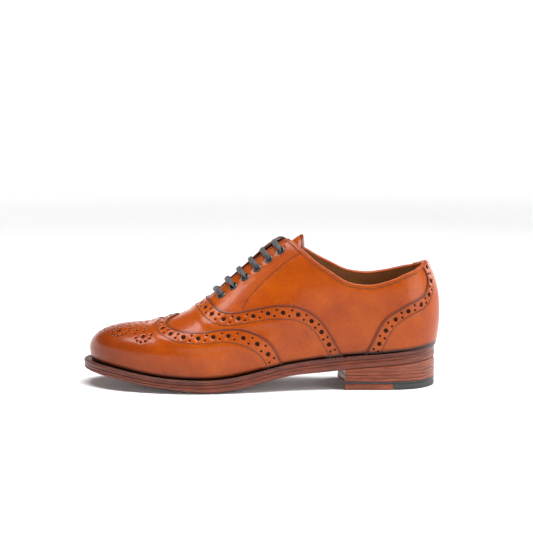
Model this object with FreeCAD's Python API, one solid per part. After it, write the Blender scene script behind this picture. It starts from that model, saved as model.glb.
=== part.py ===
import FreeCAD
import Part

import math
import os
from bisect import bisect_right

# Leather oxford shoe, left foot, full-brogue wing tip.  Millimetres, +Z up.
# The toe points to -X, the outer (lateral) side faces -Y and the tread of the sole is at Z = 0.
# The upper is a smooth skin over a shoe last.  Its flat pattern has two coordinates: p runs
# along the shoe, and q is the distance from the ridge, negative on the lateral side.

# ---------------------------------------------------------------- driving dimensions
TOE_FAN_X = -100.0            # ahead of this the pattern fans out round the toe
HEEL_FAN_X = 115.0            # behind this the pattern fans out round the heel
FAN_BLEND = 7.0               # how softly the fans meet the middle of the pattern
FAN_REACH = 14.0
FEATHER_GAP = 0.5             # the skin stops this far above the welt
SIDES = {"lateral": -1.0, "medial": 1.0}

LEATHER = 1.2                 # thickness of one layer of the upper
OVERLAY = (0.1, 1.1)          # a layer that lies on top of another, from and to
BASE = (-LEATHER, 0.0)
BACKER = (-2.3, -1.3)         # puff, stiffener and stays between upper and lining
LINING = (-3.4, -2.4)
TONGUE_OUTER = (-8.4, -7.2)
TONGUE_LINER = (-9.4, -8.5)
TONGUE_TIP_LIFT = 2.8         # how far the end of the tongue rises towards the facings
TONGUE_ROOT_LIFT = 1.4        # and how far its root rises under the vamp
TONGUE_ROOT_P = -52.0
TONGUE_TIP_P = 34.0
TONGUE_HALF_WIDTH = (20.0, 29.0)

WELT_THICKNESS = 3.0
MIDSOLE_THICKNESS = 2.6
LAYER_GAP = 0.05
WELT_WIDTH = 15.0
HEEL_BREAST_X = 71.0
HEEL_BREAST_RADIUS = 146.0    # the hollow in the heel's front face
HEEL_BREAST_DEEPEST = (72.7, -11.0)
INSOLE_THICKNESS = 3.0
SOCK_THICKNESS = 1.0
RIB_WIDTH = 2.0
TOP_PIECE_HEIGHT = 5.2
TOP_LAYER_HEIGHT = 7.2
TOP_PIECE_SPLIT_X = 112.0
LIFT_THICKNESS = 2.8
LIFT_COUNT = 3
NAIL_RADIUS = 0.9
NAIL_LENGTH = 12.0

EYELET_OUTER = 3.7
EYELET_HOLE = 2.4
EYELET_BARREL = 2.8
EYELET_FLANGE = 0.8
EYELET_BACK = (-2.75, -2.4)   # the rolled rim on the inside
EYELET_ROWS = 6
EYELET_FIRST = (-33.5, 19.2)  # pattern place of the lowest eyelet
EYELET_LAST = (16.9, 16.0)
LACE_RADIUS = 1.25
FACING_GAP = {"lateral": 3.8, "medial": 2.2}   # from the ridge to each facing edge
FACING_MEDIAL_LEAD = -3.5     # how much further up the medial facing runs

# The sole seen from above, from the back of the heel round the lateral side to the toe
# and back along the medial side.
SOLE_OUTLINE = [
    (149.5, -1), (145, -14.5), (133, -27), (110, -33.5), (80, -34), (50, -35.5), (15, -42.5),
    (-20, -50.5), (-50, -54), (-80, -51.5), (-108, -43.5), (-130.5, -31.5), (-147, -14.5),
    (-153.5, 5), (-149.5, 23.5), (-134, 39), (-112, 49), (-85, 54), (-55, 52), (-22, 42.5),
    (15, 31), (50, 27), (80, 29), (110, 32), (133, 25), (145, 12), (149.5, -1)]


# ---------------------------------------------------------------- smooth curves
class Smooth:
    """A cubic spline through (x, y, ...) knots, natural or closed."""

    def __init__(self, knots, closed=False):
        self.x = [float(k[0]) for k in knots]
        self.rows = [[float(v) for v in k[1:]] for k in knots]
        self.closed = closed
        self.width = len(self.rows[0])
        self.bend = [self._bends([r[c] for r in self.rows]) for c in range(self.width)]

    def _bends(self, y):
        x, n = self.x, len(self.x)
        step = [x[i + 1] - x[i] for i in range(n - 1)]
        slope = [(y[i + 1] - y[i]) / step[i] for i in range(n - 1)]
        bend = [0.0] * n
        for _ in range(120):
            worst = 0.0
            for i in range(0 if self.closed else 1, n - 1):
                before = i - 1 if i else n - 2
                total = 6 * (slope[i] - slope[before])
                near = step[before] * bend[before] + step[i] * bend[i + 1]
                value = (total - near) / (2 * (step[before] + step[i]))
                worst = max(worst, abs(value - bend[i]))
                bend[i] = value
            bend[-1] = bend[0] if self.closed else 0.0
            if worst < 1e-12:
                break
        return bend

    def __call__(self, at):
        x = self.x
        if self.closed:
            at = (at - x[0]) % (x[-1] - x[0]) + x[0]
        i = min(max(bisect_right(x, at) - 1, 0), len(x) - 2)
        step = x[i + 1] - x[i]
        if not self.closed and not x[0] <= at <= x[-1]:
            return self._straight_on(at)
        b = (at - x[i]) / step
        a = 1 - b
        out = []
        for c in range(self.width):
            m = self.bend[c]
            cubic = ((a ** 3 - a) * m[i] + (b ** 3 - b) * m[i + 1]) * step * step / 6
            out.append(a * self.rows[i][c] + b * self.rows[i + 1][c] + cubic)
        return out if self.width > 1 else out[0]

    def _straight_on(self, at):
        end = self.x[0] if at < self.x[0] else self.x[-1]
        nudge = 1e-3 if at < end else -1e-3
        here, inside = self(end), self(end + nudge)
        scale = (at - end) / nudge
        if self.width == 1:
            return here + (inside - here) * scale
        return [h + (k - h) * scale for h, k in zip(here, inside)]


def by_length(points, closed=False):
    """A smooth curve through points, and its length measured along the chords."""
    run, knots = 0.0, []
    for i, point in enumerate(points):
        if i:
            run += math.dist(point, points[i - 1])
        knots.append((run,) + tuple(point))
    return Smooth(knots, closed), run


def profile_curve(*knots):
    return Smooth(knots)


OUTLINE, OUTLINE_LENGTH = by_length(SOLE_OUTLINE, closed=True)
TREAD_Z = profile_curve((-153, 12.8), (-125, 8.8), (-92, 4.2), (-60, 0.7), (-42, 0), (-22, 1.6),
                        (0, 6.2), (20, 10.9), (45, 14.3), (71, 17.2), (100, 19.8), (125, 21.8),
                        (150, 24.4))
WELT_Z = profile_curve((-153, 21.6), (-125, 18.2), (-92, 13.4), (-60, 11.0), (-40, 11.0),
                       (-20, 13.2), (0, 17.4), (20, 21.8), (45, 25.2), (71, 28.0), (100, 30.3),
                       (125, 32.6), (150, 35.6))
RIDGE_Z = profile_curve((TOE_FAN_X, 52.6), (-87, 54.7), (-68, 60.9), (-49, 72.0), (-36, 83.3),
                        (-17, 99.8), (3, 116.4), (20, 127.3), (33, 133), (50, 134.6),
                        (75, 131), (HEEL_FAN_X, 125.5))
RIDGE_Y = profile_curve((TOE_FAN_X, 6), (-60, 4.5), (-20, 2.5), (20, 1), (60, 0),
                        (HEEL_FAN_X, -0.5))
INSET = profile_curve((-152, 5.1), (-120, 5.2), (-80, 4.6), (-40, 4.2), (0, 2.6), (40, 1.2),
                      (80, 0.8), (120, 0), (150, -3.0))
TUCK = profile_curve((-152, 1.4), (-60, 1.5), (0, 3), (60, 3.2), (150, 3.0))
BELLY = profile_curve((-152, 9), (-100, 11), (-50, 14), (0, 19), (60, 24), (150, 28))
ROUNDNESS = profile_curve((-152, 2.25), (-100, 2.35), (-70, 2.15), (-40, 1.65), (-15, 1.45),
                          (12, 1.45), (32, 1.75), (50, 1.85), (75, 1.9), (150, 2.0))


# ---------------------------------------------------------------- the last
def inset_point(t, inset):
    """A point of the sole outline moved inwards."""
    x, y = OUTLINE(t)
    ahead, behind = OUTLINE(t + 0.05), OUTLINE(t - 0.05)
    dx, dy = ahead[0] - behind[0], ahead[1] - behind[1]
    size = math.hypot(dx, dy)
    return x + inset * dy / size, y - inset * dx / size


def belly_point(t):
    """Where the skin is widest, seen from above."""
    return inset_point(t, INSET(OUTLINE(t)[0]))


def centre_of(x):
    cx = min(max(x, TOE_FAN_X), HEEL_FAN_X)
    return cx, RIDGE_Y(cx)


def perimeter_tables(count=1440):
    """Sorted lists that turn a place of the pattern into a place along the outline."""
    samples = [OUTLINE_LENGTH * i / count for i in range(count + 1)]
    turn = min(samples, key=lambda t: OUTLINE(t)[0])
    toe_y, heel_y = RIDGE_Y(TOE_FAN_X), RIDGE_Y(HEEL_FAN_X)
    tables = {"lateral": [], "medial": [], "toe": [], "heel": []}
    for t in samples:
        x, y = belly_point(t)
        if TOE_FAN_X - 2 < x < HEEL_FAN_X + 2:
            tables["lateral" if t < turn else "medial"].append((x, t))
        if x < TOE_FAN_X + 2:
            tables["toe"].append((math.atan2(y - toe_y, TOE_FAN_X - x), t))
        if x > HEEL_FAN_X - 2:
            along = t if t < turn else t - OUTLINE_LENGTH
            tables["heel"].append((math.atan2(y - heel_y, x - HEEL_FAN_X), along))
    return {name: sorted(set(rows)) for name, rows in tables.items()}


TABLES = perimeter_tables()


def look_up(name, key):
    rows = TABLES[name]
    i = min(max(bisect_right(rows, (key, 1e9)) - 1, 0), len(rows) - 2)
    (k0, t0), (k1, t1) = rows[i], rows[i + 1]
    return t0 + (t1 - t0) * (key - k0) / max(k1 - k0, 1e-9)


def locate(p, q):
    """The place along the outline, and the distance from the ridge, of a pattern point."""
    if p < TOE_FAN_X:
        return look_up("toe", math.atan2(q, TOE_FAN_X - p)), math.hypot(p - TOE_FAN_X, q)
    if p > HEEL_FAN_X:
        return look_up("heel", math.atan2(q, p - HEEL_FAN_X)), math.hypot(p - HEEL_FAN_X, q)
    return look_up("lateral" if q < 0 else "medial", p), abs(q)


DOME_STEPS = 36
WALL_STEPS = 10
DOME = [(math.sin(a), math.cos(a)) for a in
        (max(math.pi / 2 * i / DOME_STEPS, 1e-7) for i in range(DOME_STEPS + 1))]
DOME[-1] = (1.0, 1e-9)


def section(t):
    """The cross-section of the last through one point of the outline."""
    bx, by = belly_point(t)
    cx, cy = centre_of(bx)
    reach = math.hypot(bx - cx, by - cy)
    x = OUTLINE(t)[0]
    floor = WELT_Z(x)
    waist = floor + BELLY(x)
    return {"centre": (cx, cy), "way": ((bx - cx) / reach, (by - cy) / reach), "reach": reach,
            "floor": floor, "waist": waist, "height": RIDGE_Z(cx) - waist,
            "power": ROUNDNESS(x), "tuck": TUCK(x)}


def dome_point(cut, sine, cosine):
    power = cut["power"]
    size = ((sine / cut["reach"]) ** power + (cosine / cut["height"]) ** power) ** (-1 / power)
    return size * sine, cut["waist"] + size * cosine


def wall_point(cut, u):
    return cut["reach"] - cut["tuck"] * u * u, cut["waist"] - (cut["waist"] - cut["floor"]) * u


def section_run(cut):
    """Points down the section with their distance from the ridge."""
    line = [dome_point(cut, s, c) for s, c in DOME]
    line += [wall_point(cut, i / WALL_STEPS) for i in range(1, WALL_STEPS + 1)]
    run = [0.0]
    for a, b in zip(line, line[1:]):
        run.append(run[-1] + math.dist(a, b))
    return run


def girth(t):
    return section_run(section(t))[-1]


def bare_point(p, q):
    t, along = locate(p, q)
    cut = section(t)
    run = section_run(cut)
    i = min(max(bisect_right(run, along) - 1, 0), len(run) - 2)
    share = i + (along - run[i]) / (run[i + 1] - run[i])
    if share < DOME_STEPS:
        angle = math.pi / 2 * max(share, 1e-7) / DOME_STEPS
        radius, z = dome_point(cut, math.sin(angle), max(math.cos(angle), 1e-9))
    else:
        radius, z = wall_point(cut, (share - DOME_STEPS) / WALL_STEPS)
    (cx, cy), (wx, wy) = cut["centre"], cut["way"]
    return cx + wx * radius, cy + wy * radius, z


def skin(p, q):
    """A point of the visible skin, softened where the fans begin."""
    toe = math.exp(-((p - TOE_FAN_X) / FAN_REACH) ** 2)
    heel = math.exp(-((p - HEEL_FAN_X) / FAN_REACH) ** 2)
    shift = FAN_BLEND * (toe + heel)
    middle = FreeCAD.Vector(*bare_point(p, q))
    if shift < 0.02:
        return middle
    ends = FreeCAD.Vector(*bare_point(p - shift, q)) + FreeCAD.Vector(*bare_point(p + shift, q))
    return middle * 0.5 + ends * 0.25


def outward(p, q, step=0.6):
    along = skin(p + step, q) - skin(p - step, q)
    across = skin(p, q + step) - skin(p, q - step)
    return along.cross(across).normalize()


def lifted(p, q, lift):
    """A point at a distance from the skin, positive outwards."""
    return skin(p, q) + outward(p, q) * lift


def feather_place(t):
    """The pattern point where the skin meets the welt."""
    cut = section(t)
    along = section_run(cut)[-1] - FEATHER_GAP
    (cx, _), (wx, wy) = cut["centre"], cut["way"]
    if TOE_FAN_X < belly_point(t)[0] < HEEL_FAN_X:
        return cx, math.copysign(along, wy)
    return cx + wx * along, wy * along


def feather_at(x, side):
    """The same, found by how far along the shoe it is."""
    return feather_place(look_up(side, x))


def across(point):
    """A lateral pattern point carried over to the medial side."""
    p, q = point
    t, along = locate(p, q)
    share = along / girth(t)
    if p < TOE_FAN_X:
        angle = math.atan2(-q, TOE_FAN_X - p)
        reach = share * girth(look_up("toe", angle))
        return TOE_FAN_X - reach * math.cos(angle), reach * math.sin(angle)
    if p > HEEL_FAN_X:
        angle = math.atan2(-q, p - HEEL_FAN_X)
        reach = share * girth(look_up("heel", angle))
        return HEEL_FAN_X + reach * math.cos(angle), reach * math.sin(angle)
    return p, share * girth(look_up("medial", p))


def on_side(points, side):
    return list(points) if side == "lateral" else [across(point) for point in points]


# ---------------------------------------------------------------- seams of the pattern
def seam(points):
    """A seam as a function from 0 to 1."""
    curve, length = by_length(points)
    return lambda v: curve(v * length)


def feather_run(start_x, start_side, end_x, end_side, by_heel=False):
    """The line where the upper meets the welt, round the toe or round the heel."""
    first, last = look_up(start_side, start_x), look_up(end_side, end_x)
    if by_heel:
        last -= OUTLINE_LENGTH
    return lambda v: feather_place(first + (last - first) * v)


WING = [(8, -91), (-2.5, -77.5), (-16, -65), (-30, -56.5), (-51, -48.5), (-66, -42),
        (-76.5, -31), (-79, -17.5), (-75, -6.5)]
WING_PEAK = (-70.5, 0.0)
WING_FOOT_X = 19.0
VAMP = [(59, -98), (50.5, -86.8), (39.5, -78.6), (25.5, -70), (11.5, -62), (-2.5, -55.5),
        (-15.5, -49.5), (-25, -44.5), (-34, -35.5), (-39.8, -24), (-43.5, -11)]
VAMP_THROAT = (-45.0, 0.0)
VAMP_FOOT_X = 70.0
COUNTER = [(93.5, -99.4), (98.5, -87.8), (107, -76), (124, -67), (147, -53.5), (157.5, -38.5),
           (155, -25)]
COUNTER_FOOT_X = 87.0
TOPLINE = [(26.5, -12.6), (32.3, -22.3), (39.2, -31), (46.1, -37.7), (53.1, -42.5),
           (61.4, -47.1), (72, -52), (82.7, -53.2), (93.3, -52.4), (104.1, -49),
           (115.8, -44), (131.6, -36), (145.5, -21.5)]
HEEL_TOP = (150.5, 0.0)
COLLAR_MEDIAL_RISE = 8.0      # the medial topline is this much higher at mid length
COLLAR_MIDDLE_P = 72.0


def whole_seam(foot_x, points, middle):
    """A seam that runs over the shoe from one side's welt to the other's."""
    near = [feather_at(foot_x, "lateral")] + list(points)
    far = [feather_at(foot_x, "medial")] + on_side(points, "medial")
    return seam(near + [middle] + far[::-1])


def topline_points(side):
    """The topline of one side, from the facing to the heel; the medial one is higher."""
    if side == "lateral":
        return list(TOPLINE)
    raised = []
    for p, q in TOPLINE:
        rise = COLLAR_MEDIAL_RISE * math.exp(-((p - COLLAR_MIDDLE_P) / 48.0) ** 2)
        lead = FACING_MEDIAL_LEAD * math.exp(-((p - TOPLINE[0][0]) / 8.0) ** 2)
        raised.append((p + lead, q + rise))
    return on_side(raised, side)


# ---------------------------------------------------------------- leather sheets
def steady(value):
    return lambda u: value


def ramp(low, high, start, end):
    """A lift that climbs from one level to another between two shares of the way."""
    def lift(u):
        share = min(max((u - start) / (end - start), 0.0), 1.0)
        return low + (high - low) * share * share * (3 - 2 * share)
    return lift


def even_curve(points):
    """A curve through points with one knot at each, so that neighbours match exactly."""
    curve = Part.BSplineCurve()
    curve.interpolate(Points=points, Parameters=[float(i) for i in range(len(points))])
    return curve


def smooth_surface(grid):
    """A surface through a grid of points, built from matching curves both ways."""
    rows = [even_curve(row) for row in grid]
    columns = [even_curve([row.getPole(k + 1) for row in rows])
               for k in range(rows[0].NbPoles)]
    poles = [[column.getPole(k + 1) for column in columns]
             for k in range(columns[0].NbPoles)]
    surface = Part.BSplineSurface()
    surface.buildFromPolesMultsKnots(
        poles, columns[0].getMultiplicities(), rows[0].getMultiplicities(),
        columns[0].getKnots(), rows[0].getKnots(), False, False, 3, 3)
    return surface


def edge_face(outer, inner):
    """The straight-ruled face between two matching edge curves."""
    strip = Part.BSplineSurface()
    strip.buildFromPolesMultsKnots(
        [outer.getPoles(), inner.getPoles()], [2, 2], outer.getMultiplicities(),
        [0.0, 1.0], outer.getKnots(), False, False, 1, outer.Degree)
    return strip.toShape()


def sewn(faces):
    """A closed solid from faces that share their edges."""
    shell = Part.makeShell(faces)
    shell.sewShape()
    solid = Part.makeSolid(Part.Shell(shell.Faces))
    if solid.Volume < 0:
        solid.reverse()
    return solid


def closed_shell(outer, inner):
    """Two matching surfaces joined round their four edges into one solid."""
    faces = [outer.toShape(), inner.toShape()]
    u0, u1, v0, v1 = outer.bounds()
    pairs = [(outer.uIso(u0), inner.uIso(u0)), (outer.uIso(u1), inner.uIso(u1)),
             (outer.vIso(v0), inner.vIso(v0)), (outer.vIso(v1), inner.vIso(v1))]
    return sewn(faces + [edge_face(a, b) for a, b in pairs])


def sheet(lower, upper, inner, outer, around, up):
    """Leather between two seams, with its inner and outer lift from the skin."""
    grids = [], []
    for i in range(around + 1):
        (p0, q0), (p1, q1) = lower(i / around), upper(i / around)
        rows = [], []
        for j in range(up + 1):
            u = j / up
            p, q = p0 + (p1 - p0) * u, q0 + (q1 - q0) * u
            base, normal = skin(p, q), outward(p, q)
            rows[0].append(base + normal * outer(u))
            rows[1].append(base + normal * inner(u))
        grids[0].append(rows[0])
        grids[1].append(rows[1])
    return closed_shell(smooth_surface(grids[0]), smooth_surface(grids[1]))


def polyline(points):
    """A path from 0 to 1 with straight runs, for outlines that turn corners."""
    run = [0.0]
    for a, b in zip(points, points[1:]):
        run.append(run[-1] + math.dist(a, b))

    def place(v):
        at = v * run[-1]
        i = min(max(bisect_right(run, at) - 1, 0), len(run) - 2)
        share = (at - run[i]) / (run[i + 1] - run[i])
        return tuple(a + (b - a) * share for a, b in zip(points[i], points[i + 1]))
    return place


def sampled(curve, start, end, count):
    return [tuple(curve(start + (end - start) * i / count)) for i in range(count + 1)]


def between(lower, upper, share):
    """The curve that lies part of the way from one curve to another."""
    def place(v):
        return tuple(a + (b - a) * share for a, b in zip(lower(v), upper(v)))
    return place


def beside(curve, distance, start=0.0, end=1.0, count=40):
    """A path that runs beside a curve in the pattern."""
    points = []
    for i in range(count + 1):
        v = start + (end - start) * i / count
        (p0, q0), (p1, q1) = curve(max(v - 0.004, 0)), curve(min(v + 0.004, 1))
        size = math.hypot(p1 - p0, q1 - q0)
        p, q = curve(v)
        points.append((p - distance * (q1 - q0) / size, q + distance * (p1 - p0) / size))
    return polyline(points)


CAP_FOOT = {"lateral": 12.0, "medial": 12.0}
OVERLAP_START = 0.88          # an upper layer covers the last part of the layer below
RAMP = (0.70, 0.86)
BACK_GAP = 0.15


def over(low, high):
    """The lift of a layer that climbs onto the next one."""
    return ramp(low[0], high[0], *RAMP), ramp(low[1], high[1], *RAMP)


CAP_LOWER = feather_run(CAP_FOOT["lateral"], "lateral", CAP_FOOT["medial"], "medial")
WING_SEAM = whole_seam(WING_FOOT_X, WING, WING_PEAK)
VAMP_FRONT = between(CAP_LOWER, WING_SEAM, OVERLAP_START)
VAMP_SEAM = whole_seam(VAMP_FOOT_X, VAMP, VAMP_THROAT)
QUARTER_FRONT = between(VAMP_FRONT, VAMP_SEAM, OVERLAP_START)


def facing_points(side):
    """The edge of the facing, from the throat up to the rounded top corner."""
    sign, gap = SIDES[side], FACING_GAP[side]
    lead = FACING_MEDIAL_LEAD if side == "medial" else 0.0
    edge = [(-46.0, gap), (-36, gap), (-20, gap), (0, gap), (16 + lead, gap + 0.2),
            (20.0 + lead, gap + 1.0), (23.5 + lead, gap + 3.5)]
    return [(p, sign * q) for p, q in edge]


def heel_top(side):
    return HEEL_TOP[0], SIDES[side] * BACK_GAP


def topline_of(side):
    return seam(topline_points(side) + [heel_top(side)])


def heel_feather(start_x, side):
    """The welt line from a place along the side to the middle of the heel."""
    start = look_up(side, start_x)
    back = look_up("heel", SIDES[side] * BACK_GAP / 60)
    if side == "medial":
        start -= OUTLINE_LENGTH
    return lambda v: feather_place(start + (back - start) * v)


def down_and_back(front, start_x, side):
    """A quarter's lower edge: down its front from the throat, then along the welt."""
    return polyline(front[::-1] + sampled(heel_feather(start_x, side), 0, 1, 30))


def up_and_back(facing, side):
    """A quarter's upper edge: up its facing from the throat, then along the topline."""
    return polyline(facing + sampled(topline_of(side), 0, 1, 40))


def quarter(side):
    start, end = (0.0, 0.478) if side == "lateral" else (1.0, 0.522)
    front = sampled(QUARTER_FRONT, start, end, 24)
    lower = down_and_back(front, VAMP_FOOT_X + 6, side)
    upper = up_and_back(facing_points(side), side)
    return sheet(lower, upper, steady(BASE[0]), steady(BASE[1]), 90, 16)


def toe_cap():
    return sheet(CAP_LOWER, WING_SEAM, *over(BASE, OVERLAY), 56, 18)


def vamp():
    return sheet(VAMP_FRONT, VAMP_SEAM, *over(BASE, OVERLAY), 56, 16)


def counter_cover():
    lower = feather_run(COUNTER_FOOT_X + 7, "lateral", COUNTER_FOOT_X + 7, "medial", True)
    near = [feather_at(COUNTER_FOOT_X, "lateral")] + COUNTER
    top = [(145.5, -21.5), (148.5, -11), HEEL_TOP, (148.5, 11), (145.5, 21.5)]
    far = [feather_at(COUNTER_FOOT_X, "medial")] + on_side(COUNTER, "medial")
    upper = polyline(sampled(seam(near), 0, 1, 16) + top + sampled(seam(far), 1, 0, 16))
    return sheet(lower, upper, steady(OVERLAY[0]), steady(OVERLAY[1]), 60, 10)


LINING_JOIN = [(12, -64.5), (-20, -38.5), (-42, -14)]
LINING_FOOT_X = 34.0


def vamp_lining():
    lower = feather_run(LINING_FOOT_X - 8, "lateral", LINING_FOOT_X - 8, "medial")
    upper = whole_seam(LINING_FOOT_X, LINING_JOIN, (-50, 0))
    return sheet(lower, upper, steady(LINING[0]), steady(LINING[1]), 50, 14)


def quarter_lining(side):
    join = [(p + 2, q) for p, q in on_side(LINING_JOIN, side)]
    front = sampled(seam([feather_at(LINING_FOOT_X + 2, side)] + join), 0, 1, 12)
    lower = down_and_back(front, LINING_FOOT_X + 10, side)
    upper = up_and_back(facing_points(side)[1:], side)
    return sheet(lower, upper, steady(LINING[0]), steady(LINING[1]), 80, 14)


def toe_puff():
    lower = feather_run(-84, "lateral", -84, "medial")
    upper = whole_seam(-78, [(-82, -34), (-88, -15)], (-90, 0))
    return sheet(lower, upper, steady(BACKER[0]), steady(BACKER[1]), 36, 10)


def heel_stiffener():
    lower = feather_run(76, "lateral", 76, "medial", True)
    points = [(76, -88), (98, -74), (128, -62), (160, -38)]
    upper = whole_seam(70, points, (171, 0))
    return sheet(lower, upper, steady(BACKER[0]), steady(BACKER[1]), 40, 10)


def facing_stay(side):
    sign = SIDES[side]
    edge = seam([(p, q + sign * 0.6) for p, q in facing_points(side)[1:5]])
    low = seam([(-38, sign * 25), (-20, sign * 24), (0, sign * 23), (15, sign * 22)])
    return sheet(low, edge, steady(BACKER[0]), steady(BACKER[1]), 16, 6)


def topline_binding(side):
    topline = topline_of(side)
    way = -SIDES[side]
    near = beside(topline, way * 0.35, 0.03, 0.99)
    far = beside(topline, way * 1.5, 0.03, 0.99)
    return sheet(near, far, steady(LINING[0]), steady(BASE[1]), 50, 3)


def tongue_sheet(levels):
    """An arched strip from the throat to the free end above the facings."""
    root_half, tip_half = TONGUE_HALF_WIDTH
    root = seam([(TONGUE_ROOT_P, -root_half), (TONGUE_ROOT_P + 1, 0),
                 (TONGUE_ROOT_P, root_half)])
    tip = seam([(TONGUE_TIP_P + 6, -tip_half), (TONGUE_TIP_P + 1, -tip_half / 2),
                (TONGUE_TIP_P, 0), (TONGUE_TIP_P + 1, tip_half / 2),
                (TONGUE_TIP_P + 6, tip_half)])

    def level(at):
        down = ramp(at + TONGUE_ROOT_LIFT, at, 0.0, 0.2)
        rise = ramp(0.0, TONGUE_TIP_LIFT, 0.82, 0.99)
        return lambda u: down(u) + rise(u)
    return sheet(root, tip, level(levels[0]), level(levels[1]), 20, 24)


# ---------------------------------------------------------------- eyelets and lace
def eyelet_place(row, side):
    share = row / (EYELET_ROWS - 1)
    p = EYELET_FIRST[0] + (EYELET_LAST[0] - EYELET_FIRST[0]) * share
    q = EYELET_FIRST[1] + (EYELET_LAST[1] - EYELET_FIRST[1]) * share
    return p, SIDES[side] * q


def cylinder_at(p, q, radius, low, high):
    """A cylinder on the skin's normal, between two lifts."""
    normal = outward(p, q)
    return Part.makeCylinder(radius, high - low, skin(p, q) + normal * low, normal)


def eyelet(row, side):
    p, q = eyelet_place(row, side)
    flange = cylinder_at(p, q, EYELET_OUTER, 0.1, 0.1 + EYELET_FLANGE)
    barrel = cylinder_at(p, q, EYELET_BARREL, EYELET_BACK[0], 0.3)
    back = cylinder_at(p, q, EYELET_OUTER - 0.4, *EYELET_BACK)
    bore = cylinder_at(p, q, EYELET_HOLE, LINING[0] - 2, 3)
    return flange.fuse([barrel, back]).cut(bore)


def eyelet_hole(row, side):
    """What an eyelet takes out of the leather."""
    p, q = eyelet_place(row, side)
    bore = cylinder_at(p, q, EYELET_BARREL + 0.1, LINING[0] - 3, 3)
    seat = cylinder_at(p, q, EYELET_OUTER + 0.1, 0.05, 3)
    under = cylinder_at(p, q, EYELET_OUTER, LINING[0] - 3, EYELET_BACK[1] + 0.05)
    return bore.fuse([seat, under])


def punched(shape, side):
    for row in range(EYELET_ROWS):
        shape = shape.cut(eyelet_hole(row, side))
    return shape


UNDER_LIFT = -5.2
OVER_LIFT = 2.35
EYELET_PITCH = 12.7
LACE_TURN = 4.0               # how far from an eyelet the lace leaves its under-run
LACE_SWAY = 3.3               # how far two under-runs swing apart where they pass
BAR_HALF = [(1.0, 0.0, -2.8), (0.99, 0.0, 0.1), (0.82, -0.9, 2.3), (0.45, -3.4, OVER_LIFT),
            (0.2, -4.6, OVER_LIFT)]   # share of the way out, swing to the toe, lift


def bar_points(row, start_side):
    """One straight bar, up out of one eyelet, over the ridge and down into the other."""
    other = "medial" if start_side == "lateral" else "lateral"
    (p, q0), (_, q1) = eyelet_place(row, start_side), eyelet_place(row, other)
    climb = [(p + swing, q0 * share, lift) for share, swing, lift in BAR_HALF]
    return climb + [(p + swing, q1 * share, lift) for share, swing, lift in BAR_HALF[::-1]]


def under_points(row, next_row, side, sway=0.0):
    """The lace below the facing, from one eyelet to another further up."""
    (p0, q0), (p1, q1) = eyelet_place(row, side), eyelet_place(next_row, side)
    near = LACE_TURN / (abs(next_row - row) * EYELET_PITCH)
    return [(p0 + (p1 - p0) * share, q0 + (q1 - q0) * share + SIDES[side] * out, UNDER_LIFT)
            for share, out in ((near, sway * 0.6), (0.5, sway), (1 - near, sway * 0.6))]


TAIL_SPREADS = {5: 13.0, 4: 8.0}   # how far each tucked end swings away from the ridge


def tail_points(row, side):
    """The tucked end of the lace, lying between the facing and the tongue."""
    p, q = eyelet_place(row, side)
    swing = SIDES[side] * TAIL_SPREADS[row]
    return [(p - 3, q + swing * 0.25, UNDER_LIFT), (p - 9, q + swing * 0.8, UNDER_LIFT),
            (p - 15, q + swing, UNDER_LIFT + 0.2)]


def lace_route():
    """The whole lace as pattern points with lifts, from one tucked end to the other."""
    first = bar_points(0, "medial")
    up_lateral = (under_points(0, 1, "lateral") + bar_points(1, "lateral")
                  + under_points(1, 3, "medial", -LACE_SWAY) + bar_points(3, "medial")
                  + under_points(3, 5, "lateral", -LACE_SWAY) + bar_points(5, "lateral")
                  + tail_points(5, "medial"))
    up_medial = (under_points(0, 2, "medial", LACE_SWAY) + bar_points(2, "medial")
                 + under_points(2, 4, "lateral", LACE_SWAY) + bar_points(4, "lateral")
                 + tail_points(4, "medial"))
    return up_medial[::-1] + first + up_lateral


def carried_frames(points, count):
    """Places along a curve with two directions across it that don't twist."""
    curve = Part.BSplineCurve()
    curve.interpolate(points)
    first, last = curve.FirstParameter, curve.LastParameter
    side, frames = None, []
    for i in range(count + 1):
        at = first + (last - first) * i / count
        way = curve.tangent(at)[0]
        guess = side or way.cross(FreeCAD.Vector(0, 0, 1))
        side = (guess - way * guess.dot(way)).normalize()
        frames.append((curve.value(at), side, way.cross(side)))
    return frames


def tube(points, radius, count=420, half_ring=6):
    """A round cord along a smooth route."""
    frames = carried_frames(points, count)
    halves = []
    for start in (0, half_ring):
        angles = [math.pi * (start + k) / half_ring for k in range(half_ring + 1)]
        grid = [[at + a * (radius * math.cos(t)) + b * (radius * math.sin(t)) for t in angles]
                for at, a, b in frames]
        halves.append(smooth_surface(grid))
    ends = []
    for at in (0.0, float(count)):
        rims = [half.uIso(at).toShape() for half in halves]
        ends.append(Part.Face(Part.Wire(rims)))
    return sewn([half.toShape() for half in halves] + ends)


def lace():
    return tube([lifted(*place) for place in lace_route()], LACE_RADIUS)


LACE_TIP_LENGTH = 8.0
LACE_TIP_GAP = 1.3


def lace_tips():
    """The two crimped metal tips on the tucked ends."""
    tips = []
    for row in TAIL_SPREADS:
        before, end = [lifted(*place) for place in tail_points(row, "medial")[-2:]]
        way = (end - before).normalize()
        tips.append(Part.makeCylinder(LACE_RADIUS, LACE_TIP_LENGTH, end + way * LACE_TIP_GAP, way))
    return Part.makeCompound(tips)


# ---------------------------------------------------------------- sole and heel
def spline_edge(points, closed=False):
    curve = Part.BSplineCurve()
    curve.interpolate(points, PeriodicFlag=closed)
    return curve.toShape()


def plan_prism(inset, count=72):
    """The sole outline, moved in, as a tall prism."""
    points = []
    for i in range(count):
        t = OUTLINE_LENGTH * i / count
        amount = inset(OUTLINE(t)[0]) if callable(inset) else inset
        points.append(FreeCAD.Vector(*inset_point(t, amount), -10))
    face = Part.Face(Part.Wire([spline_edge(points, True)]))
    return face.extrude(FreeCAD.Vector(0, 0, 90))


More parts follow.
